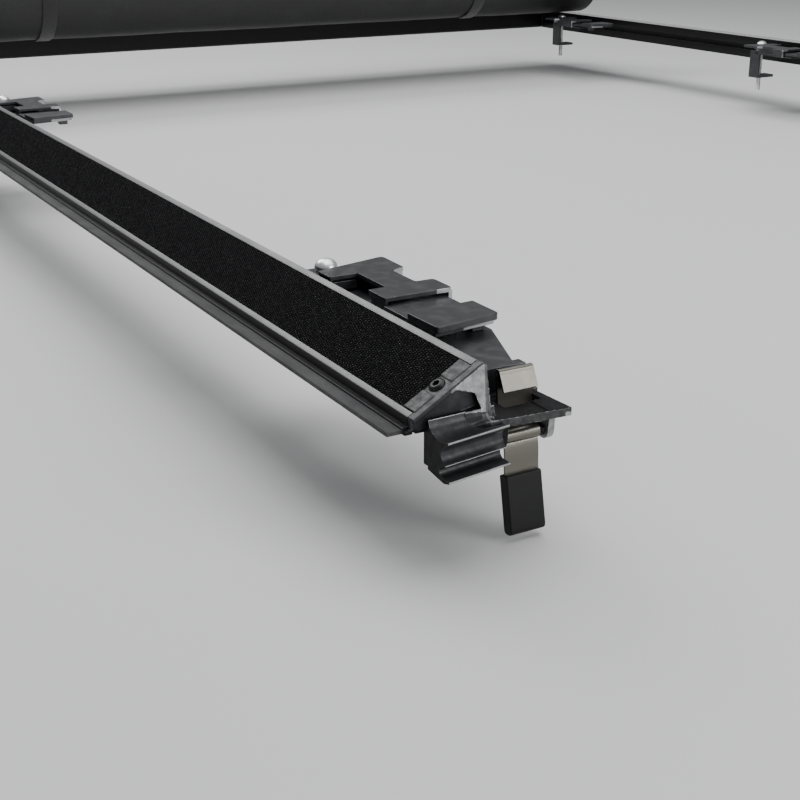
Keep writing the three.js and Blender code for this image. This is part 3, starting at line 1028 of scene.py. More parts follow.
def from_node(node: str, name: str, finish: Finish, width: float,
              segments: int = 2) -> bpy.types.Object:
    """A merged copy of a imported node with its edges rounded.

    Args:
        node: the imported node.
        name: the new piece's name.
        finish: what it is made of.
        width: how wide the rounding is, in millimetres.
        segments: how many strips it has.

    Returns:
        The new piece.
    """
    work = bmesh.new()
    work.from_mesh(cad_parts[node].data)
    bmesh.ops.remove_doubles(work, verts=work.verts, dist=1e-6)
    bmesh.ops.dissolve_limit(work, angle_limit=math.radians(1), verts=work.verts,
                             edges=work.edges)
    points = [v.co.copy() for v in work.verts]
    work.verts.index_update()
    faces = [[v.index for v in face.verts] for face in work.faces]
    work.free()
    mesh = bpy.data.meshes.new(name)
    mesh.from_pydata(points, [], faces)
    return broken_edges(as_object(name, mesh, finish), width, segments)


def hold(piece: bpy.types.Object, body: str, finish: Finish, *nodes: str) -> None:
    """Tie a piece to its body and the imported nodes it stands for."""
    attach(piece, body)
    if nodes:
        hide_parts(*nodes)


# ---- repeated pieces ----


class Rule(Tree):
    """A Geometry Nodes tree under construction, with named inputs."""

    def __init__(self, name: str) -> None:
        """Start an empty tree."""
        super().__init__(bpy.data.node_groups.new(name, "GeometryNodeTree"))
        self.name = name
        self.tree.interface.new_socket("Geometry", in_out="OUTPUT",
                                       socket_type="NodeSocketGeometry")
        self.source = self.tree.nodes.new("NodeGroupInput")
        self.values: dict[str, Any] = {}

    def given(self, name: str, value: Any, kind: str = "Float") -> Wire:
        """A named input of the tree.

        Args:
            name: the input's name.
            value: what this piece gives it.
            kind: Float, Int, Vector, Rotation or Material.

        Returns:
            The input as a wire.
        """
        item = self.tree.interface.new_socket(name, in_out="INPUT",
                                              socket_type="NodeSocket" + kind)
        self.values[item.identifier] = value
        return Wire(self.tree, self.source.outputs[name])

    def made(self, geometry: Wire, finish: Finish) -> bpy.types.Object:
        """End the tree and turn what it makes into a plain mesh.

        Args:
            geometry: the instances to keep.
            finish: what they are made of.

        Returns:
            A piece named after the tree.
        """
        real = self.node("GeometryNodeRealizeInstances", {}, {0: geometry})
        material = self.given("Material", finish.material(), "Material")
        dressed = self.node("GeometryNodeSetMaterial", {},
                            {"Geometry": real, "Material": material})
        sink = self.tree.nodes.new("NodeGroupOutput")
        self.tree.links.new(dressed.socket, sink.inputs[0])
        carrier = as_object(self.name, bpy.data.meshes.new(self.name))
        modifier = carrier.modifiers.new("rule", "NODES")
        modifier.node_group = self.tree
        for identifier, value in self.values.items():
            modifier[identifier] = value
        return settled(carrier, 60)


@dataclass
class HookField:
    """Rows of moulded hooks over the tape, every other row half a pitch aside."""

    side: Side
    length: float = 1914.0
    width: float = 44.6
    along: float = 2.7
    across: float = 1.55
    height: float = 1.2
    stem: float = 0.52
    curl: float = 1.25
    tip: float = 0.04
    seed: int = 7

    def build(self) -> bpy.types.Object:
        """Make the hooks of one rail.

        Returns:
            One mesh of every hook.
        """
        rule = Rule(f"{self.side.word}_tape_hooks")
        length = rule.given("Length", self.length * MM)
        width = rule.given("Width", self.width * MM)
        along = rule.given("Pitch along", self.along * MM)
        across = rule.given("Pitch across", self.across * MM)
        height = rule.given("Hook height", self.height * MM)
        stem = rule.given("Stem", self.stem * MM)
        curl = rule.given("Curl", self.curl * MM)
        seed = rule.given("Seed", self.seed, "Int")
        turn = 0.0 if self.side is Side.LEFT else math.pi
        centre = on_slope((LAND_INBOARD + SLOPE_LENGTH - LAND_OUTBOARD) / 2,
                          GAP + STRIP_THICKNESS - STRIP_RECESS)
        place = rule.given("Place", self.side.world(STRIP_END_X - self.length / 2, *centre),
                           "Vector")
        lay = rule.given("Lay", (self.side.value * -SLOPE_ANGLE, 0.0, turn), "Vector")
        grid = rule.node("GeometryNodeMeshGrid", {}, {
            "Size X": length, "Size Y": width, "Vertices X": length / along + 1,
            "Vertices Y": width / across + 1})
        position = rule.node("GeometryNodeInputPosition")
        split = rule.node("ShaderNodeSeparateXYZ", {}, {0: position})
        row = ((split / along) + 1000.25).whole() % 2
        shift = rule.node("ShaderNodeCombineXYZ", {}, {"Y": (row - 0.5) * across * 0.5})
        points = rule.node("GeometryNodeSetPosition", {}, {"Geometry": grid, "Offset": shift})
        cone = rule.node("GeometryNodeMeshCone", {"fill_type": "NONE"}, {
            "Vertices": 3, "Side Segments": 2, "Radius Top": self.tip * MM, "Radius Bottom": stem,
            "Depth": height})
        spot = rule.node("ShaderNodeSeparateXYZ", {},
                         {0: rule.node("GeometryNodeInputPosition")}, 2)
        rise = (spot / height) ** 2.0
        bend = rule.node("ShaderNodeCombineXYZ", {}, {"X": rise * curl,
                                                      "Z": rise * height * -0.25})
        hook = rule.node("GeometryNodeSetPosition", {}, {"Geometry": cone, "Offset": bend})
        jitter = rule.node("FunctionNodeRandomValue", {"data_type": "FLOAT_VECTOR"}, {
            0: (-0.12, -0.12, -0.35), 1: (0.12, 0.12, 0.35), "Seed": seed})
        spread = rule.node("FunctionNodeRandomValue", {"data_type": "FLOAT_VECTOR"}, {
            0: (0.95, 0.75, 0.85), 1: (1.5, 1.1, 1.1), "Seed": seed + 1})
        field = rule.node("GeometryNodeInstanceOnPoints", {}, {
            "Points": points, "Instance": hook, "Rotation": jitter, "Scale": spread})
        laid = rule.node("GeometryNodeTransform", {}, {
            "Geometry": field, "Translation": place, "Rotation": lay})
        return rule.made(laid, TAPE_HOOKS)


@dataclass
class Row:
    """One small shape repeated along a straight line."""

    name: str
    start: Point3
    stop: Point3
    pitch: float
    finish: Finish
    radius: float
    depth: float
    turn: Point3 = (0.0, 0.0, 0.0)
    stretch: Point3 = (1.0, 1.0, 1.0)
    sides: int = 8

    def build(self) -> bpy.types.Object:
        """Make the whole row.

        Returns:
            One mesh, between the two ends in world millimetres.
        """
        rule = Rule(self.name)
        start = rule.given("Start", Vector(self.start) * MM, "Vector")
        stop = rule.given("Stop", Vector(self.stop) * MM, "Vector")
        count = round((Vector(self.stop) - Vector(self.start)).length / self.pitch) + 1
        number = rule.given("Count", count, "Int")
        radius = rule.given("Radius", self.radius * MM)
        depth = rule.given("Depth", self.depth * MM)
        turn = rule.given("Turn", self.turn, "Vector")
        stretch = rule.given("Stretch", self.stretch, "Vector")
        line = rule.node("GeometryNodeMeshLine", {"mode": "END_POINTS"}, {
            "Count": number, "Start Location": start, "Offset": stop})
        dome = rule.node("GeometryNodeMeshUVSphere", {}, {
            "Segments": self.sides, "Rings": 6, "Radius": radius})
        flat = rule.node("GeometryNodeTransform", {}, {
            "Geometry": dome, "Scale": rule.node("ShaderNodeCombineXYZ", {}, {
                "X": 1.0, "Y": 1.0, "Z": depth / radius})})
        row = rule.node("GeometryNodeInstanceOnPoints", {}, {
            "Points": line, "Instance": flat, "Rotation": turn, "Scale": stretch})
        return rule.made(row, self.finish)


# ---- the side rail and what lies on it ----


@dataclass
class SideRail:
    """The hollow rail, its hook tape and its sealing strip."""

    side: Side
    flange_top: float = 4.2
    flange_reach: float = 51.0
    seal: float = 2.6
    seal_reach: float = 61.0
    wall: float = 2.2
    channel_depth: float = 8.0
    channel: Point2 = (14.0, 24.0)

    def outline(self) -> list[Point2]:
        """The rail's section in (y, z), with soft corners."""
        foot_y, foot_z = on_slope(SLOPE_LENGTH)
        low = self.seal + GAP
        return softened([
            (0, RAIL_TOP, 0.7), (*on_slope(LAND_INBOARD), 0.35),
            (*on_slope(LAND_INBOARD, -STRIP_RECESS), 0.1),
            (*on_slope(SLOPE_LENGTH - LAND_OUTBOARD, -STRIP_RECESS), 0.1),
            (*on_slope(SLOPE_LENGTH - LAND_OUTBOARD), 0.35), (foot_y, foot_z, 0.6),
            (foot_y, self.flange_top, 0.6), (-self.flange_reach, self.flange_top, 0.5),
            (-self.flange_reach, low, 0.3), (-27, low), (-27, GAP), (0, GAP, 0.5),
            (0, self.channel[0], 0.4), (-self.channel_depth, self.channel[0], 0.4),
            (-self.channel_depth, self.channel[1], 0.4), (0, self.channel[1], 0.4)])

    def hollow(self) -> list[Point2]:
        """The section of the hollow inside the rail."""
        foot_y = on_slope(SLOPE_LENGTH)[0] + self.wall
        inner_y = -self.channel_depth - self.wall
        floor = self.flange_top + 1
        drop = (STRIP_RECESS + self.wall) / math.cos(SLOPE_ANGLE)
        tops = [RAIL_TOP + y * math.tan(SLOPE_ANGLE) - drop for y in (inner_y, foot_y)]
        return [(inner_y, floor), (inner_y, tops[0]), (foot_y, tops[1]), (foot_y, floor)]

    def rail(self) -> None:
        """The extrusion, bare along both edges of the tape and on the flange's rim, whose light
        line is partly a painted highlight.
        """
        shape = Shape().prism(self.outline(), along_x, -RAIL_LENGTH, 0)
        piece = shape.placed(f"{self.side.word}_rail", self.side.world, RAIL_BLACK, RAIL_BARE)
        hollow = Shape().prism(self.hollow(), along_x, -RAIL_LENGTH - 5, 5).placed(
            "rail_hollow", self.side.world)
        cut = piece.modifiers.new("hollow", "BOOLEAN")
        cut.object = hollow
        cut.solver = "EXACT"
        settled(piece, 30)
        bpy.data.objects.remove(hollow)
        for face in piece.data.polygons:
            face.material_index = int(self.is_bare(face))
        hold(piece, ROOT, RAIL_BLACK, f"{self.side.word}_side_rail")

    def is_bare(self, face: bpy.types.MeshPolygon) -> bool:
        """Whether a face of the rail lies on a bare edge; the flange's rim is partly a painted
        highlight.
        """
        _, y, z = side_frame(face.center)
        down, out = slope_of(y, z)
        land = out > -0.6 and (-0.5 < down < LAND_INBOARD + 0.2 or
                               SLOPE_LENGTH - LAND_OUTBOARD - 0.2 < down < SLOPE_LENGTH + 0.3)
        # The flange's rim takes the light bare finish: partly bare metal, partly a painted
        # highlight along its rounded edge.
        rim = y < 0.35 - self.flange_reach and z > self.seal + 0.8
        return (land or rim) and abs(face.normal.x) < 0.5

    def tape(self) -> None:
        """The tape's woven ground and its hooks."""
        low = GAP - STRIP_RECESS
        top = LAND_INBOARD + GAP
        foot = SLOPE_LENGTH - LAND_OUTBOARD - GAP
        outline = [on_slope(top, low), on_slope(top, low + STRIP_THICKNESS),
                   on_slope(foot, low + STRIP_THICKNESS), on_slope(foot, low)]
        ground = Shape().prism(outline, along_x, 2 - RAIL_LENGTH, STRIP_END_X).placed(
            f"{self.side.word}_tape_ground", self.side.world, TAPE_GROUND)
        broken_edges(ground, 0.25, 1)
        hold(ground, ROOT, TAPE_GROUND, f"{self.side.word}_hook_strip")
        hold(HookField(self.side).build(), ROOT, TAPE_HOOKS)

    def sealing_strip(self) -> None:
        """The foam strip under the flange, cut square at its end."""
        reach = self.seal_reach
        outline = softened([(-reach, 0, 0.3), (-28, 0), (-28, self.seal),
                            (-self.flange_reach - 1.5, self.seal, 1.5),
                            (-reach + 0.6, self.seal - 0.1, 0.8)], steps=4)
        strip = Shape().prism(outline, along_x, 1 - RAIL_LENGTH, -1).placed(
            f"{self.side.word}_seal", self.side.world, SEAL_FOAM)
        broken_edges(strip, 0.25)
        hold(strip, ROOT, SEAL_FOAM, f"{self.side.word}_bed_rail_seal")

    def plug(self) -> None:
        """The moulded plug in the rail's front end."""
        node = f"{self.side.word}_front_plug"
        hold(from_node(node, f"{self.side.word}_plug", BLACK_PLASTIC, 0.6, 3), ROOT,
             BLACK_PLASTIC, node)

    def build(self) -> None:
        """Make everything on the rail."""
        self.rail()
        self.tape()
        self.sealing_strip()
        self.plug()
        log.info("%s rail, tape, seal and plug", self.side.word)


# ---- the rear corner ----


class CastingSlot(IntEnum):
    """The finishes of the casting's body, in the order it wears them."""

    DARK = 0
    PALE = 1
    FACET = 2
    BLACK = 3
    WALL = 4


class LipSlot(IntEnum):
    """The finishes of the lipped block, in the order it wears them."""

    DARK = 0
    BLACK = 1
    EDGE = 2


@dataclass
class CornerCasting:
    """The die casting that ends the rail and carries the latch."""

    side: Side
    pivot: Point2 = LATCH_PIVOT
    plate_top: float = 3.2
    ear_radius: float = 6.6
    screw_down: float = 27.8
    screw_x: float = -6.0
    lip_outboard: float = -38.0
    lip_inboard: float = 9.0
    lip_twist: float = 0.144
    lip_root: float = 7.3
    voxel: float = 0.42
    facet_edge: float = 0.6
    lip_tips: tuple[Point2, ...] = ((29.5, 1.7), (27.0, -13.0), (31.4, -22.1))

    def skeleton(self) -> Shape:
        """The casting's body as overlapping solids."""
        foot_y, foot_z = on_slope(SLOPE_LENGTH)
        shape = Shape()
        shape.prism([(1, RAIL_TOP - 0.5), (0, RAIL_TOP), (foot_y, foot_z), (foot_y, 3.2),
                     (-44, GAP), (2.6, GAP), (2.6, 34)], along_x, GAP, 3.6)
        shape.prism([on_slope(0), on_slope(SLOPE_LENGTH), on_slope(SLOPE_LENGTH, -3),
                     on_slope(0, -3)], along_x, 2.6, 7)
        low = GAP - STRIP_RECESS
        for start, stop, top, reach in ((5.9, 21.0, 0.35, -11.5), (20.6, 35.4, -0.1, -11.1),
                                        (35.0, 50.2, 0.35, -11.5)):
            shape.prism([on_slope(start, low), on_slope(start, top), on_slope(stop, top),
                         on_slope(stop, low)], along_x, reach, 1.2)
        wall = [(GAP, GAP), (15, GAP), (15, 3.2), (11.6, 3.9), (9.9, 6.2), (9.0, 12),
                (7, RAIL_TOP - 1.5), (GAP, RAIL_TOP - 1.5)]
        shape.prism(wall, along_y, -2.6, 2.4)
        shape.rings([[(0.4, 2.0, 3.0), (9.0, 2.0, 3.0), (6.8, 2.0, 36.3), (0.4, 2.0, 36.3)],
                     [(0.4, 5.2, 3.0), (9.6, 5.2, 3.0), (6.6, 2.3, 36.0), (0.4, 2.3, 36.0)]])
        shape.rings([[(0.4, 3.0, 2.5), (9.6, 3.0, 2.5), (9.0, 3.0, 10.5), (0.4, 3.0, 10.5)],
                     [(0.4, 9.5, 2.5), (9.6, 9.5, 2.5), (9.4, 5.0, 4.0), (0.4, 5.0, 4.0)]])
        shape.rings([[(3, -13, 0), (12, -13, 0), (11.5, -13, 0.6), (9.2, -13, 2.2),
                      (7.6, -13, 5), (6.6, -13, 8.6), (3, -13, 8.6)],
                     [(3, -2.4, 0), (15, -2.4, 0), (15, -2.4, 3.2), (11.6, -2.4, 3.9),
                      (9.9, -2.4, 6.2), (9.1, -2.4, 10), (3, -2.4, 10)]])
        facet = [(6.9, -21.5, 24.8), (7.1, -2.0, 36.4), (9.3, -2.0, 9.5), (9.1, -3.6, 12.7),
                 (8.5, -6.8, 20.5)]
        shape.add(facet + [(2.6, y, z) for _, y, z in facet],
                  [(0, 1, 4), (1, 2, 3, 4), (9, 8, 7, 6, 5), (0, 5, 6, 1), (1, 6, 7, 2),
                   (2, 7, 8, 3), (3, 8, 9, 4), (4, 9, 5, 0)])
        shape.block((0.6, 9), (-37, 8), (-21, 2))
        shape.prism([(-52, 0.8), (-46.5, 0.8), (-46.5, 3.2), (-50.5, 2.6)], along_x, 0.2, 4.4)
        self.base_plate(shape)
        for y0, y1 in ((18.6, 22.5), (52.6, 57.5)):
            x, z = self.pivot
            ring = arc((x, z), self.ear_radius, 0, 360, 40)[:-1]
            shape.prism(ring, along_y, y0, y1)
            shape.prism([(x - 6.6, z), (x + 6.6, z), (x + 8.4, 1), (x - 8.4, 1)], along_y,
                        y0, y1)
        return shape

    def base_plate(self, shape: Shape) -> None:
        """The flat plate round the lever's slot, its middle sunk a little.

        Args:
            shape: the body to add it to.
        """
        low, sunk, top = GAP, 2.3, self.plate_top
        front_rim = [(-26, 0.6), (-21.5, 0.6), (-21.5, 54), (-26, 54)]
        inboard_rim = [(-26, 49.3), (19, 49.3), (19.6, 56.6), (-26, 54)]
        lower = ([(-26, 0.6), (15, 0.6), (16.8, 22), (-26, 22)], front_rim,
                 [(-2, 0.6), (15, 0.6), (19.6, 56.6), (-2, 55.3)], inboard_rim)
        for outline in lower:
            shape.prism(outline, along_z, low, sunk)
        upper = ([(-26, 0.6), (15, 0.6), (15.3, 5), (-26, 5)], front_rim,
                 [(-2, 41), (18.3, 41), (19.6, 56.6), (-2, 55.3)], inboard_rim,
                 [(14.0, 0.6), (15, 0.6), (19.6, 56.6), (18.3, 56.6)])
        for outline in upper:
            shape.prism(outline, along_z, low, top)
        shape.prism([(13.3, 9), (15.7, 9), (19.6, 56.6), (17.3, 56.6)], along_z, -2.4, 1.5)
        shape.block((-26, -23.8), (12, 62), (-11, 1))
        shape.block((-26, -2), (55.2, 57.5), (-11, 1))

    def body(self) -> None:
        """The body, cast in one skin with soft inner corners."""
        piece = self.skeleton().placed(f"{self.side.word}_casting", self.side.world,
                                       CAST_DARK, CAST_PALE, CAST_PAINTED_HIGHLIGHT, CAST_PAINTED_SHADE,
                                       CAST_WALL_PAINTED_LIGHT)
        skin = piece.modifiers.new("skin", "REMESH")
        skin.mode = "VOXEL"
        skin.voxel_size = self.voxel * MM
        ease = piece.modifiers.new("ease", "SMOOTH")
        ease.factor = 0.4
        ease.iterations = 2
        thin = piece.modifiers.new("thin", "DECIMATE")
        thin.ratio = 0.2
        settled(piece, 45)
        ruled(piece, [(self.side.world(0, self.facet_edge, 0), Vector((0, 1, 0))),
                      (self.side.world(1.0, 0, 0), Vector((1, 0, 0)))])
        for face in piece.data.polygons:
            face.material_index = self.slot_of(face)
        hold(piece, ROOT, CAST_DARK, f"{self.side.word}_corner_casting")

    def slot_of(self, face: bpy.types.MeshPolygon) -> CastingSlot:
        """Which finish a face of the body wears.

        Args:
            face: a face of the settled body.

        Returns:
            The finish's slot.
        """
        x, y, z = side_frame(face.center)
        out = slope_of(y, z)[1]
        # The inboard ear takes the bright copy: painted highlight.
        if (x < 1.0 and out > -1.6 and y < 0) or (y > 52.2 and z < 0.5 and x > -14):
            return CastingSlot.PALE if y < 0 else CastingSlot.FACET
        # The gusset's rear-facing facet takes the bright copy: painted highlight.
        if x > 5.4 and -22 < y < self.facet_edge and z > 8 and face.normal.x > 0.5:
            return CastingSlot.FACET if out < -0.8 else CastingSlot.DARK
        # The wall's rear-facing faces take the lighter copy: painted light.
        if self.facet_edge <= y < 6.5 and face.normal.x > 0.1:
            return CastingSlot.WALL
        # The outboard end and the base plate's upward faces take the black copy: painted shade.
        if y < -36 and z < 3:
            return CastingSlot.BLACK
        if y > 6.5 and z < 3.5:
            upright = face.normal.z > 0.5 or z < -2.6
            return CastingSlot.BLACK if upright else CastingSlot.PALE
        return CastingSlot.DARK

    def lip_section(self) -> list[Point2]:
        """The three-lipped block's section in (x, z)."""
        def bow(a: Point2, b: Point2, c: Point2) -> list[Point2]:
            """Eight chords of a curve from a to c that leans on b."""
            return [((1 - t) ** 2 * a[0] + 2 * t * (1 - t) * b[0] + t * t * c[0],
                     (1 - t) ** 2 * a[1] + 2 * t * (1 - t) * b[1] + t * t * c[1])
                    for t in (k / 8 for k in range(9))]

        return [*bow((7.3, 9), (9, 1), (20.8, 0.4)), (25, 1.0), (28.9, 2.25), (29.5, 2.2),
                (29.7, 1.5), *bow((29.4, 1.0), (17, -5), (24.9, -12.2)), (26.9, -12.75),
                (27.15, -13.05), *bow((26.7, -13.4), (15.5, -16.5), (23, -21.3)),
                (30.9, -21.45), (31.5, -21.8), (31.5, -22.5), (25.6, -24.3), (7.3, -22)]

    def lips(self) -> None:
        """The ridged block behind the rail, sheared in plan."""
        def sheared(a: float, b: float, s: float) -> Point3:
            """Outline in (x, z), pulled along y and sheared."""
            share = min(1.0, 0.25 + (a - self.lip_root) / 18)
            return a - share * self.lip_twist * (s - self.lip_outboard), s, b

        piece = Shape().prism(self.lip_section(), sheared, self.lip_outboard,
                              self.lip_inboard).placed(
            f"{self.side.word}_casting_lips", self.side.world, CAST_DARK, CAST_PAINTED_SHADE,
            CAST_TIP_HIGHLIGHT)
        broken_edges(piece, 0.3, 2, 40)
        for face in piece.data.polygons:
            x, y, z = side_frame(face.center)
            x += self.lip_twist * (y - self.lip_outboard)
            # Faces at the lips' tips take the bright copy: painted highlight.
            tip = any(abs(x - a) < 0.9 and abs(z - b) < 0.7 for a, b in self.lip_tips)
            # The outboard end face takes the black copy: painted shade.
            if y < self.lip_outboard + 0.5:
                face.material_index = LipSlot.BLACK
            else:
                face.material_index = LipSlot.EDGE if tip else LipSlot.DARK
        hold(piece, ROOT, CAST_DARK)

    def screw(self) -> None:
        """The button-head screw with its hex socket."""
        origin = Vector((self.screw_x, *on_slope(self.screw_down)))
        direction = Vector((0, -math.sin(SLOPE_ANGLE), math.cos(SLOPE_ANGLE)))
        profile = [(2.5, -8), (2.5, 0), (5.25, 0), (5.4, 0.15), (5.36, 0.45), (5.0, 0.95),
                   (4.3, 1.35), (3.4, 1.6), (2.7, 1.68), (2.45, 1.55), (2.35, 1.3),
                   (2.25, 0.1), (0.4, -0.1)]
        head = Shape().turned(profile, origin, direction, 48, 6, 4).placed(
            f"{self.side.word}_screw", self.side.world, DARK_STEEL)
        settled(head, 45)
        hold(head, ROOT, DARK_STEEL, f"{self.side.word}_corner_screw")

    def build(self) -> None:
        """Make the casting and its screw."""
        self.body()
        self.lips()
        self.screw()
        log.info("%s corner casting and screw", self.side.word)


@dataclass
class TriggerLatch:
    """The stainless lever with its rubber grip, pin, spring and bracket."""

    side: Side
    pivot: Point2 = LATCH_PIVOT
    inner: float = 23.0
    outer: float = 48.3
    thickness: float = 1.6
    barrel: float = 4.8
    pin: float = 2.5
    grip_inner: float = 21.6
    grip_outer: float = 48.2
    grip_depth: float = 8.8
    grip_length: float = 39.0
    coils: float = 3.1

    @property
    def body(self) -> str:
        """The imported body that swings."""
        return f"{self.side.word}_latch"

    def lever(self) -> None:
        """The bent strip: hook, rolled barrel and shank."""
        hook = curved([(-5.4, 10.2), (-8.1, 15.6), (-10.6, 20.7)], 4)
        hook += arc((-12.4, 20.8), 1.7, 30, 172, 8)
        hook += curved([(-13.9, 18.5), (-13, 12), (-12, 3), (-11.4, -6), (-9.4, -15.5),
                        (-8.8, -18.2)], 6)
        roll = arc(self.pivot, self.barrel - self.thickness / 2, 178, 496, 40)
        shank = curved([(-4.6, -22.4), (-3.3, -24.5), (-2.4, -31), (-1.7, -42), (1.2, -57)], 6)
        shape = Shape()
        for path in (hook, roll, shank):
            shape.prism(ribbon(path, self.thickness), along_y, self.inner, self.outer)
        lever = shape.placed(f"{self.side.word}_lever", self.side.world, STRIP_STAINLESS,
                             STRIP_PAINTED_SHADE)
        broken_edges(lever, 0.22, 2, 50)
        for face in lever.data.polygons:
            x, _, z = side_frame(face.center)
            # Faces of the front leg below the hook take the darker stainless: painted shade under
            # the hook.
            face.material_index = int(x < -9.4 and -4 < z < 19.2)
        hold(lever, self.body, STRIP_STAINLESS, f"{self.side.word}_latch_lever")

    def grip(self) -> None:
        """The moulded grip, leaning rearward at the bottom."""
        lean = math.atan2(7.4, 37)
        half, length = self.grip_depth / 2, self.grip_length
        outline = softened([(-half, 0, 1.6), (half, 0, 1.6), (half, -length, 4.0),
                            (-half, -length, 4.0)], steps=6)

        def leaning(a: float, b: float, s: float) -> Point3:
            """Outline in (x, z) about the grip's top, leaned and pulled along y."""
            taper = 1 - 0.05 * (b / length + 1) * (1 if a < 0 else 0.4)
            x, z = a * taper, b
            return (-1.6 + x * math.cos(lean) - z * math.sin(lean), s,
                    -43 + z * math.cos(lean) + x * math.sin(lean))

        grip = Shape().prism(outline, leaning, self.grip_inner, self.grip_outer).placed(
            f"{self.side.word}_grip", self.side.world, GRIP_RUBBER)
        broken_edges(grip, 1.2, 4, 40)
        hold(grip, self.body, GRIP_RUBBER, f"{self.side.word}_lever_grip")

    def hinge_pin(self) -> None:
        """The pin, with a domed head outboard of the far ear and a chamfered tip."""
        r = self.pin
        profile = [(r - 0.6, 0), (r, 0.6), (r, 40.3), (4.0, 40.3), (4.0, 41.1), (3.5, 41.8),
                   (2.2, 42.2), (0.5, 42.3)]
        pin = Shape().turned(profile, Vector((self.pivot[0], 17.6, self.pivot[1])),
                             Vector((0, 1, 0)), 28).placed(
            f"{self.side.word}_pin", self.side.world, DARK_STEEL)
        settled(pin, 35)
        hold(pin, ROOT, DARK_STEEL, f"{self.side.word}_latch_pin")

    def spring(self) -> None:
        """The torsion spring: a coil round the pin."""
        centre = Vector((self.pivot[0], 0, self.pivot[1]))
        steps = 90
        coil = []
        for k in range(steps + 1):
            t = 2 * math.pi * self.coils * k / steps
            coil.append(centre + Vector((3.95 * math.cos(t), 48.95 + 3.0 * k / steps,
                                         3.95 * math.sin(t))))
        wire = Shape().tube(coil, 0.42, 8).placed(
            f"{self.side.word}_spring", self.side.world, DARK_STEEL)
        settled(wire, 50)
        hold(wire, ROOT, DARK_STEEL, f"{self.side.word}_latch_spring")

    def bracket(self) -> None:
        """The flat bracket ahead of the hook."""
        node = f"{self.side.word}_latch_bracket"
        hold(from_node(node, f"{self.side.word}_bracket", PLATE_GREY, 0.5, 3), ROOT,
             PLATE_GREY, node)

    def build(self) -> None:
        """Make the whole latch."""
        self.lever()
        self.grip()
        self.hinge_pin()
        self.spring()
        self.bracket()
        log.info("%s trigger latch", self.side.word)


class ClampPlace(Enum):
    """Where along the rail a clamp sits, in millimetres from the rail's rear end."""

    REAR = -200.0
    MIDDLE = -1160.0
    FRONT = -1770.0


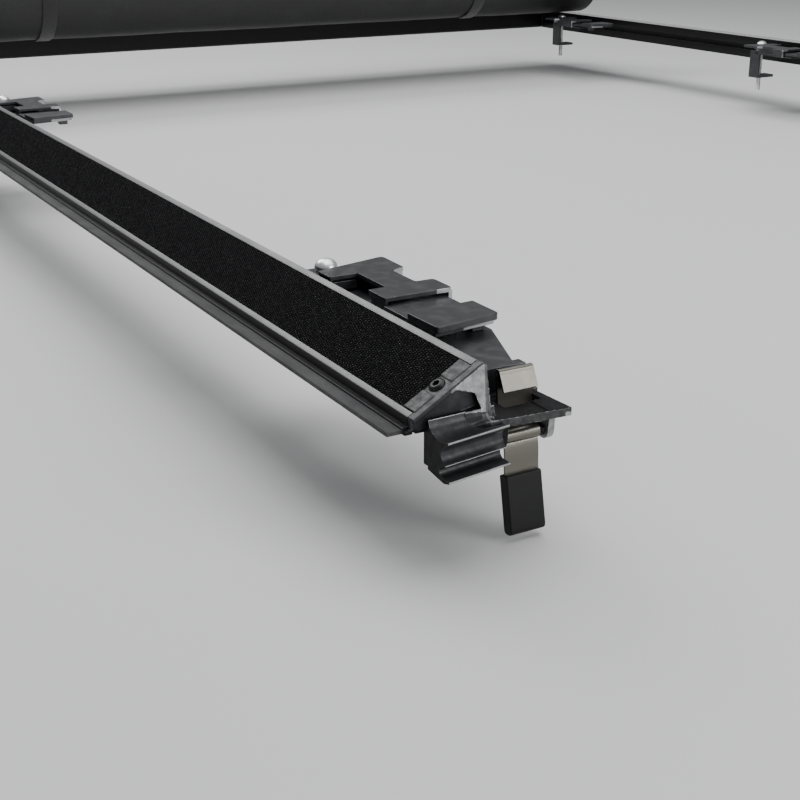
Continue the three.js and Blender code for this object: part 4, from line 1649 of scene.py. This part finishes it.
@dataclass
class RailClamp:
    """A two-plate clamp that grips the bed rail from below."""

    side: Side
    place: ClampPlace
    bolt_x: float = -51.0
    bolt_y: float = 26.5
    seat: float = 28.4
    head: float = 9.0
    shank: float = 4.0
    bottom: float = -50.0
    thread: float = 1.25

    @property
    def stem(self) -> str:
        """How this clamp's names start."""
        return f"{self.side.word}_{self.place.name.lower()}"

    def local(self, x: float, y: float, z: float) -> Vector:
        """A point of this clamp's frame, in world metres."""
        return self.side.world(self.place.value + x, y, z)

    def plate(self) -> None:
        """The upper plate: four arms, two turned-down lips, two legs and the bolt's ear."""
        shape = Shape()
        outline = [(50, 21, 1.2), (50, 63, 0.5), (50, 76, 4), (23.5, 76, 4),
                   (23.5, 61, 2.5), (-10.5, 61, 2.5), (-14.5, 73, 2), (-49.5, 74, 4),
                   (-35.5, 12, 1.2), (-16.5, 12, 1.2), (-16.5, 35, 1.5), (25.5, 35, 1.5),
                   (25.5, 21, 1.2)]
        shape.prism(softened(outline, steps=5), along_z, 29.5, 33)
        shape.block((28, 50), (72.6, 76), (20, 31))
        shape.block((-18, -14.8), (64, 72.5), (25, 31))
        shape.block((-38, 48), (9, 52), (16.5, 19.5))
        shape.block((-38, 30), (49, 52), (19, 29.9))
        shape.block((-38, -34), (35, 52), (16.5, 29.9))
        shape.block((-60, -17), (12, 35), (21.5, self.seat - GAP))
        for x0, x1, y in ((-34, -17, 12), (28, 48, 22)):
            shape.block((x0, x1), (y, y + 3), (16, 32))
            shape.block((x0, x1), (GAP - 8, y + 3), (16, 21))
        piece = shape.placed(f"{self.stem}_plate", self.local, PLATE_GREY, PLATE_BARE_HIGHLIGHT)
        broken_edges(piece, 0.55, 3)
        self.bare_highlit_rims(piece)
        hold(piece, ROOT, PLATE_GREY, f"{self.stem}_clamp_plate")

    def tongue(self) -> None:
        """The tongue that slides under the plate, its pad raised and its rim bare, partly a
        painted highlight.
        """
        shape = Shape()
        slide = [(34, 26, 1), (50, 26, 1), (50, 20, 1), (119, 20, 1.5),
                 (115.7, 44, 0.5), (112, 71, 3), (34, 71, 1)]
        pad = [(84, 19, 1.2), (121.5, 20, 2.5), (118.3, 44, 0.5), (114.5, 73, 5), (81, 73, 2)]
        shape.prism(softened(slide, steps=5), along_z, 24, 27.5)
        shape.prism(softened(pad, steps=6), along_z, 27, 32)
        shape.block((96, 106), (57, 67), (18.5, 26.5))
        piece = shape.placed(f"{self.stem}_tongue", self.local, PLATE_GREY, PLATE_BARE_HIGHLIGHT)
        broken_edges(piece, 0.7, 3)
        self.bare_highlit_rims(piece)
        hold(piece, ROOT, PLATE_GREY, f"{self.stem}_clamp_tongue")

    def bare_highlit_rims(self, piece: bpy.types.Object) -> None:
        """Bare the rear-facing faces of a plate's lips and rim, partly a painted highlight.

        Args:
            piece: a plate with its coat and its bare finish, partly a painted highlight.
        """
        for face in piece.data.polygons:
            x, y, z = side_frame(face.center)
            x -= self.place.value
            # Rear-facing faces of the lips and rim take the light bare finish: partly bare metal,
            # partly a painted highlight.
            lip = 63.2 < y < 76 and -19 < x < 51 and face.normal.x > 0.6
            rim = x > 112 and y > 44.2 and z < 29.4 and face.normal.x > 0.5
            face.material_index = int(lip or rim)

    def castings(self) -> None:
        """The plate, the tongue and the jaw below them."""
        self.plate()
        self.tongue()
        jaw = from_node(f"{self.stem}_clamp_jaw", f"{self.stem}_jaw_casting", PLATE_GREY,
                        0.7, 3)
        hold(jaw, f"{self.stem}_jaw", PLATE_GREY, f"{self.stem}_clamp_jaw")

    def bolt(self) -> None:
        """The domed bolt and its threaded shank."""
        x, y = self.place.value + self.bolt_x, self.bolt_y
        r, head, seat = self.shank, self.head, self.seat
        top = [(r, seat), (head - 0.3, seat), (head, seat + 0.5), (head, seat + 1.6)]
        top += [(head * math.cos(t), seat + 1.6 + (head - 1.8) * math.sin(t))
                for t in (math.radians(6 + 4.4 * a) for a in range(18))]
        shape = Shape().turned([(r, seat - 3), *top, (0.4, seat + head - 0.2)],
                               Vector((x, y, 0)), Vector((0, 0, 1)), 40)
        sides, per_turn = 16, 4
        rings = []
        for k in range(int((seat - 2 - self.bottom) / self.thread * per_turn) + 1):
            height = self.bottom + k * self.thread / per_turn
            ring = []
            for i in range(sides):
                part = (k / per_turn - i / sides) % 1.0
                reach = r - 0.65 * abs(2 * part - 1) * min(1.0, (k + 1) / 4)
                t = 2 * math.pi * i / sides
                ring.append((x + reach * math.cos(t), y + reach * math.sin(t), height))
            rings.append(ring)
        shape.rings(rings)
        bolt = shape.placed(f"{self.stem}_bolt", self.side.world, BRIGHT_ZINC)
        settled(bolt, 50)
        hold(bolt, ROOT, BRIGHT_ZINC, f"{self.stem}_clamp_bolt")

    def build(self) -> None:
        """Make the clamp."""
        self.castings()
        self.bolt()
        log.info("%s clamp", self.stem)


# ---- header, roll and straps ----


@dataclass
class Spiral:
    """The path of the cover in its roll, in (x, z) millimetres."""

    x: float = 100.0
    radius: float = 82.0
    core: float = 26.0
    pitch: float = 10.0
    thickness: float = 1.3
    bow_spacing: float = 386.0
    bow_count: int = 4

    @property
    def z(self) -> float:
        """Height of the roll's centre."""
        return RAIL_TOP + GAP + self.radius

    @property
    def growth(self) -> float:
        """How much the radius grows with each radian."""
        return self.pitch / (2 * math.pi)

    @property
    def last_turn(self) -> float:
        """The whole winding, in radians."""
        return (self.radius - self.core) / self.growth

    def bows(self) -> list[Point2]:
        """The winding at each bow and half the angle that its bar fills."""
        result = []
        for index in range(self.bow_count):
            distance = self.bow_spacing * (index + 1)
            reach = math.sqrt(self.core ** 2 + 2 * self.growth * distance)
            result.append(((reach - self.core) / self.growth, math.atan2(15, reach)))
        return result

    def reach(self, turn: float) -> float:
        """Radius of the cover's middle at a winding.

        Args:
            turn: radians wound from the tail bar.

        Returns:
            The radius in millimetres, swollen over the bows.
        """
        reach = self.core + self.growth * turn - self.thickness / 2
        last = self.last_turn - 2 * math.pi
        if turn > last:
            t = min(1.0, (turn - last) / 1.15)
            outer = self.radius - self.thickness / 2
            reach += (outer - reach) * t * t * (3 - 2 * t)
        for at, half in self.bows():
            off = abs(turn - at) / (half * 1.6)
            if off < 1 and turn < last + 0.2:
                corner = math.hypot(reach - 0.2, 15) - reach + 0.9
                reach += corner * (1 - off * off) ** 0.5
        return reach

    def point(self, turn: float) -> Vector:
        """A point of the winding's middle."""
        angle = self.last_turn - turn - math.pi / 2
        reach = self.reach(turn)
        return Vector((self.x + reach * math.cos(angle), self.z + reach * math.sin(angle)))

    def path(self, chords: float = 0.09) -> list[Vector]:
        """The cover's middle line from the tail bar to the header."""
        lead = [Vector((self.x - 18.9, self.z + dz)) for dz in (-8, -2, 4)]
        lead.append(Vector((self.x - 18.3, self.z + 12)))
        count = int(self.last_turn / chords)
        wound = [self.point(self.last_turn * k / count) for k in range(count + 1)]
        flat = [Vector((x, RAIL_TOP + GAP + self.thickness / 2))
                for x in (92, 80, 64, 48, 32, 16, 0, -13)]
        return lead + wound + flat


class ClothSlot(IntEnum):
    """The finishes of the rolled sheet, in the order it wears them."""

    BACK = 0
    FACE = 1
    PILE = 2


@dataclass
class RolledCover:
    """The vinyl cover with its bows, tail bar, hems and straps, rolled behind the header."""

    half_width: float = 752.0
    pile_width: float = 27.0
    columns: int = 30
    strap_y: float = 450.0
    strap_width: float = 25.0
    strap_thickness: float = 2.1
    stitch_reach: float = 744.0
    rivet_reach: float = 720.0
    spiral: Spiral = field(default_factory=Spiral)
    length: float = 0.0

    def stations(self) -> list[float]:
        """Where across the cover its points lie."""
        half, pile = self.half_width, self.pile_width
        inner = half - pile
        inside = [-inner + 2 * inner * k / self.columns for k in range(self.columns + 1)]
        return [-half, -half + pile * 0.5, *inside, half - pile * 0.5, half]

    def slack(self, along: float, y: float, reach: float) -> float:
        """How far the cloth stands off its even winding, in millimetres."""
        near = math.exp(-((abs(y) - self.strap_y) / 34) ** 2)
        wave = (0.34 * math.sin(y * 0.021 + along * 0.011)
                + 0.26 * math.sin(y * 0.047 - along * 0.023 + 1.7)
                + 0.16 * math.sin(y * 0.11 + along * 0.05))
        return wave * min(1.0, reach / 60) - 0.55 * near

    def sheet(self) -> bpy.types.Object:
        """The cover as one wound sheet: grained face in, woven back out, pile at its edges.

        Returns:
            The sheet.
        """
        path = self.spiral.path()
        stations = self.stations()
        lengths = [0.0]
        for a, b in zip(path, path[1:]):
            lengths.append(lengths[-1] + (b - a).length)
        half = self.spiral.thickness / 2
        centre = Vector((self.spiral.x, self.spiral.z))
        layers: list[list[Point3]] = [[], []]
        for i, here in enumerate(path):
            run = (path[min(i + 1, len(path) - 1)] - path[max(i - 1, 0)]).normalized()
            out = Vector((-run.y, run.x))
            still = here.x < 95 and here.y < 45
            for y in stations:
                off = 0.0 if still else self.slack(lengths[i], y, (here - centre).length)
                for layer, sign in zip(layers, (1, -1)):
                    p = here + out * (sign * half + off)
                    layer.append((p.x, y, p.y))
        n, m = len(path), len(stations)
        points = layers[0] + layers[1]
        base = n * m
        faces = []
        for i in range(n - 1):
            for j in range(m - 1):
                quad = [i * m + j, i * m + j + 1, (i + 1) * m + j + 1, (i + 1) * m + j]
                faces += [quad, [base + k for k in quad[::-1]]]
        rim = ([i * m for i in range(n)] + [(n - 1) * m + j for j in range(1, m)]
               + [i * m + m - 1 for i in range(n - 2, -1, -1)] + list(range(m - 2, 0, -1)))
        for a, b in zip(rim, rim[1:] + rim[:1]):
            faces.append([a, b, base + b, base + a])
        mesh = bpy.data.meshes.new("rolled_cover")
        mesh.from_pydata([middle_frame(*p) for p in points], [], faces)
        uv = mesh.uv_layers.new(name="cloth")
        for loop in mesh.loops:
            row, column = divmod(loop.vertex_index % base, m)
            uv.data[loop.index].uv = (lengths[row] * MM, stations[column] * MM)
        piece = as_object("rolled_cover", mesh, VINYL_BACK, VINYL_FACE, EDGE_PILE)
        work = bmesh.new()
        work.from_mesh(mesh)
        bmesh.ops.recalc_face_normals(work, faces=work.faces)
        work.to_mesh(mesh)
        work.free()
        grained = 2 * (n - 1) * (m - 1)
        for face in mesh.polygons:
            front = all(v >= base for v in face.vertices)
            edge = abs(face.center.y) / MM > self.half_width - self.pile_width
            if not front:
                face.material_index = ClothSlot.FACE
            elif edge and face.index < grained:
                face.material_index = ClothSlot.PILE
            else:
                face.material_index = ClothSlot.BACK
        mesh.shade_smooth()
        mesh.set_sharp_from_angle(angle=math.radians(50))
        self.length = lengths[-1]
        return piece

    def cover(self) -> None:
        """The sheet, on the frame in place of the imported roll."""
        piece = self.sheet()
        hold(piece, ROOT, VINYL_BACK, "cover_roll")
        log.info("rolled cover, %.0f mm long", self.length)

    def bars(self) -> None:
        """The bows and the tail bar, each in its own extrusion."""
        for index in range(self.spiral.bow_count):
            node = f"bow_{index + 1}"
            hold(from_node(node, f"cover_{node}", BOW_ALUMINIUM, 1.2, 3), ROOT,
                 BOW_ALUMINIUM, node)
        hold(from_node("tail_bar", "cover_tail_bar", RAIL_BLACK, 0.8, 3), ROOT, RAIL_BLACK,
             "tail_bar")
        log.info("bows and tail bar")

    def hem(self) -> None:
        """Two rows of stitches and a row of rivets where the cover meets the header."""
        top = RAIL_TOP + GAP + self.spiral.thickness
        for number, x in enumerate((22.0, 27.0)):
            row = Row(f"hem_stitches_{number + 1}", (x, -self.stitch_reach, top + 0.05),
                      (x, self.stitch_reach, top + 0.05), 4.0, STRAP_WEBBING, 0.42, 0.34,
                      stretch=(1.0, 3.6, 1.0), sides=6)
            hold(row.build(), ROOT, STRAP_WEBBING)
        rivets = Row("hem_rivets", (4, -self.rivet_reach, top), (4, self.rivet_reach, top),
                     120, DARK_STEEL, 4.6, 1.5, sides=20)
        hold(rivets.build(), ROOT, DARK_STEEL)

    def strap(self, side: Side) -> None:
        """A webbing strap round the roll and its side-release buckle.

        Args:
            side: which half of the cover it holds.
        """
        spiral, y = self.spiral, side.value * self.strap_y
        inside = spiral.radius + GAP
        half_width, thickness = self.strap_width / 2, self.strap_thickness
        rings, marks = [], []
        steps = 96
        for k in range(steps + 1):
            angle = math.radians(-82 + 320 * k / steps)
            ring = []
            crown = softened([(inside, -half_width), (inside + thickness, -half_width),
                              (inside + thickness, half_width), (inside, half_width)], 0.9, 3)
            for reach, off in crown:
                ring.append((spiral.x + reach * math.cos(angle), y + off,
                             spiral.z + reach * math.sin(angle)))
                marks.append((inside * angle * MM, off * MM))
            rings.append(ring)
        shape = Shape().rings(rings)
        mesh_piece = shape.placed(f"{side.word}_roll_strap", middle_frame, STRAP_WEBBING)
        uv = mesh_piece.data.uv_layers.new(name="cloth")
        for loop in mesh_piece.data.loops:
            uv.data[loop.index].uv = marks[loop.vertex_index]
        settled(mesh_piece, 45)
        hold(mesh_piece, ROOT, STRAP_WEBBING, f"{side.word}_strap")
        self.buckle(side)
        log.info("%s strap and buckle", side.word)

    def buckle(self, side: Side) -> None:
        """A side-release buckle: frame, two prongs and the bar the strap turns round.

        Args:
            side: which strap it sits on.
        """
        angle = math.radians(128)
        reach = self.spiral.radius + GAP + self.strap_thickness + 5.4
        centre = Vector((self.spiral.x + reach * math.cos(angle), side.value * self.strap_y,
                         self.spiral.z + reach * math.sin(angle)))
        out = Vector((math.cos(angle), 0, math.sin(angle)))
        run = Vector((-math.sin(angle), 0, math.cos(angle)))

        def at(a: float, b: float, s: float) -> Point3:
            """Outline along and across the strap, pulled outwards."""
            return tuple(centre + run * a + Vector((0, b, 0)) + out * s)

        shape = Shape()
        shape.prism(softened([(-19, -13), (-19, 13), (-9, 15.5), (7, 15.5), (7, -15.5),
                              (-9, -15.5)], 2.0), at, -4.4, 4.2)
        for sign in (-1, 1):
            shape.prism(softened([(5, 8 * sign), (5, 14.5 * sign), (12, 17 * sign),
                                  (17.5, 13 * sign), (17.5, 8 * sign)], 1.2), at, -3.2, 3.0)
        shape.prism(softened([(6, -13), (6, 13), (10, 13), (10, -13)], 0.8), at, -3.4, 3.2)
        shape.prism(softened([(12, -13), (12, 13), (18.6, 13), (18.6, -13)], 1.2), at, -4.0,
                    3.6)
        for x in (-15.5, -12.0):
            shape.prism(softened([(x, -10), (x, 10), (x + 1.6, 10), (x + 1.6, -10)], 0.5), at,
                        4.0, 4.8)
        piece = shape.placed(f"{side.word}_buckle", middle_frame, BLACK_PLASTIC)
        broken_edges(piece, 0.5, 2, 40)
        hold(piece, ROOT, BLACK_PLASTIC, f"{side.word}_strap_buckle")

    def build(self) -> None:
        """Make the cover and all that goes with it."""
        self.cover()
        self.bars()
        self.hem()
        for side in Side:
            self.strap(side)


@dataclass
class Header:
    """The fixed front bar and the seal that it sits on."""

    edge: float = 0.8

    def build(self) -> None:
        """Make the bar and its seal."""
        hold(from_node("header_bar", "header_extrusion", RAIL_BLACK, self.edge, 3), ROOT,
             RAIL_BLACK, "header_bar")
        hold(from_node("header_seal", "header_foam", SEAL_FOAM, 0.5, 3), ROOT, SEAL_FOAM,
             "header_seal")
        log.info("header and its seal")


# ---- studio ----


@dataclass
class Studio:
    """A pale floor, soft lights and the camera behind the driver's-side corner."""

    floor_z: float = -0.0855
    floor_reach: float = 9000.0
    camera_at: Point3 = (2.5852, -1.1169, 0.298)
    heading: Point2 = (-0.8686, 0.4955)
    pitch: float = 21.1
    lens: float = 59.9

    def floor(self) -> None:
        """A wide sweep, part of the stage."""
        limits = (-self.floor_reach, self.floor_reach)
        shape = Shape().block(limits, limits, (self.floor_z / MM - 20, self.floor_z / MM))
        shape.placed("studio_floor", middle_frame, FLOOR_PALE)

    def lamp(self, name: str, at: Point3, aim: Point3, size: Point2, power: float) -> None:
        """A soft rectangular light.

        Args:
            name: the light's name.
            at: where it hangs.
            aim: what it points at.
            size: its two sides, in metres.
            power: its strength in watts.
        """
        light = bpy.data.lights.new(name, "AREA")
        light.shape = "RECTANGLE"
        light.size, light.size_y = size
        light.energy = power
        lamp = bpy.data.objects.new(name, light)
        lamp.location = at
        lamp.rotation_mode = "QUATERNION"
        lamp.rotation_quaternion = (Vector(aim) - Vector(at)).to_track_quat("-Z", "Y")
        bpy.context.scene.collection.objects.link(lamp)

    def lights(self) -> None:
        """A broad light overhead, a key from behind the cab and a low fill."""
        corner = (1.95, -0.7, 0.0)
        self.lamp("overhead", (1.2, 0.0, 2.4), (1.2, 0.0, 0), (3.4, 2.6), 62)
        self.lamp("key", (3.45, 0.38, 0.95), corner, (0.9, 0.6), 13)
        self.lamp("card", (3.7, -0.2, 0.18), corner, (1.0, 0.3), 6)
        self.lamp("front", (-1.2, -0.9, 2.1), (1.9, -0.7, 0), (1.6, 1.0), 34)
        world = bpy.data.worlds.new("studio")
        world.use_nodes = True
        back = world.node_tree.nodes["Background"]
        back.inputs["Color"].default_value = (0.9, 0.92, 0.95, 1)
        back.inputs["Strength"].default_value = 0.3
        bpy.context.scene.world = world

    def camera(self) -> None:
        """The camera, looking forward along the rail from behind its rear corner."""
        view = bpy.data.cameras.new("camera")
        view.sensor_width = 36
        view.lens = self.lens
        view.clip_start = 0.01
        eye = bpy.data.objects.new("camera", view)
        eye.location = self.camera_at
        tilt = math.radians(self.pitch)
        ahead = Vector((self.heading[0] * math.cos(tilt), self.heading[1] * math.cos(tilt),
                        -math.sin(tilt)))
        eye.rotation_mode = "QUATERNION"
        eye.rotation_quaternion = ahead.to_track_quat("-Z", "Y")
        bpy.context.scene.collection.objects.link(eye)
        bpy.context.scene.camera = eye

    def build(self) -> None:
        """Set up the studio."""
        self.floor()
        self.lights()
        self.camera()
        log.info("studio")


def main() -> None:
    """Build every piece in order."""
    logging.basicConfig(level=logging.INFO, format="%(message)s")
    Studio().build()
    for side in Side:
        SideRail(side).build()
        CornerCasting(side).build()
        TriggerLatch(side).build()
        for place in ClampPlace:
            RailClamp(side, place).build()
    Header().build()
    RolledCover().build()


if __name__ == "__main__":
    main()
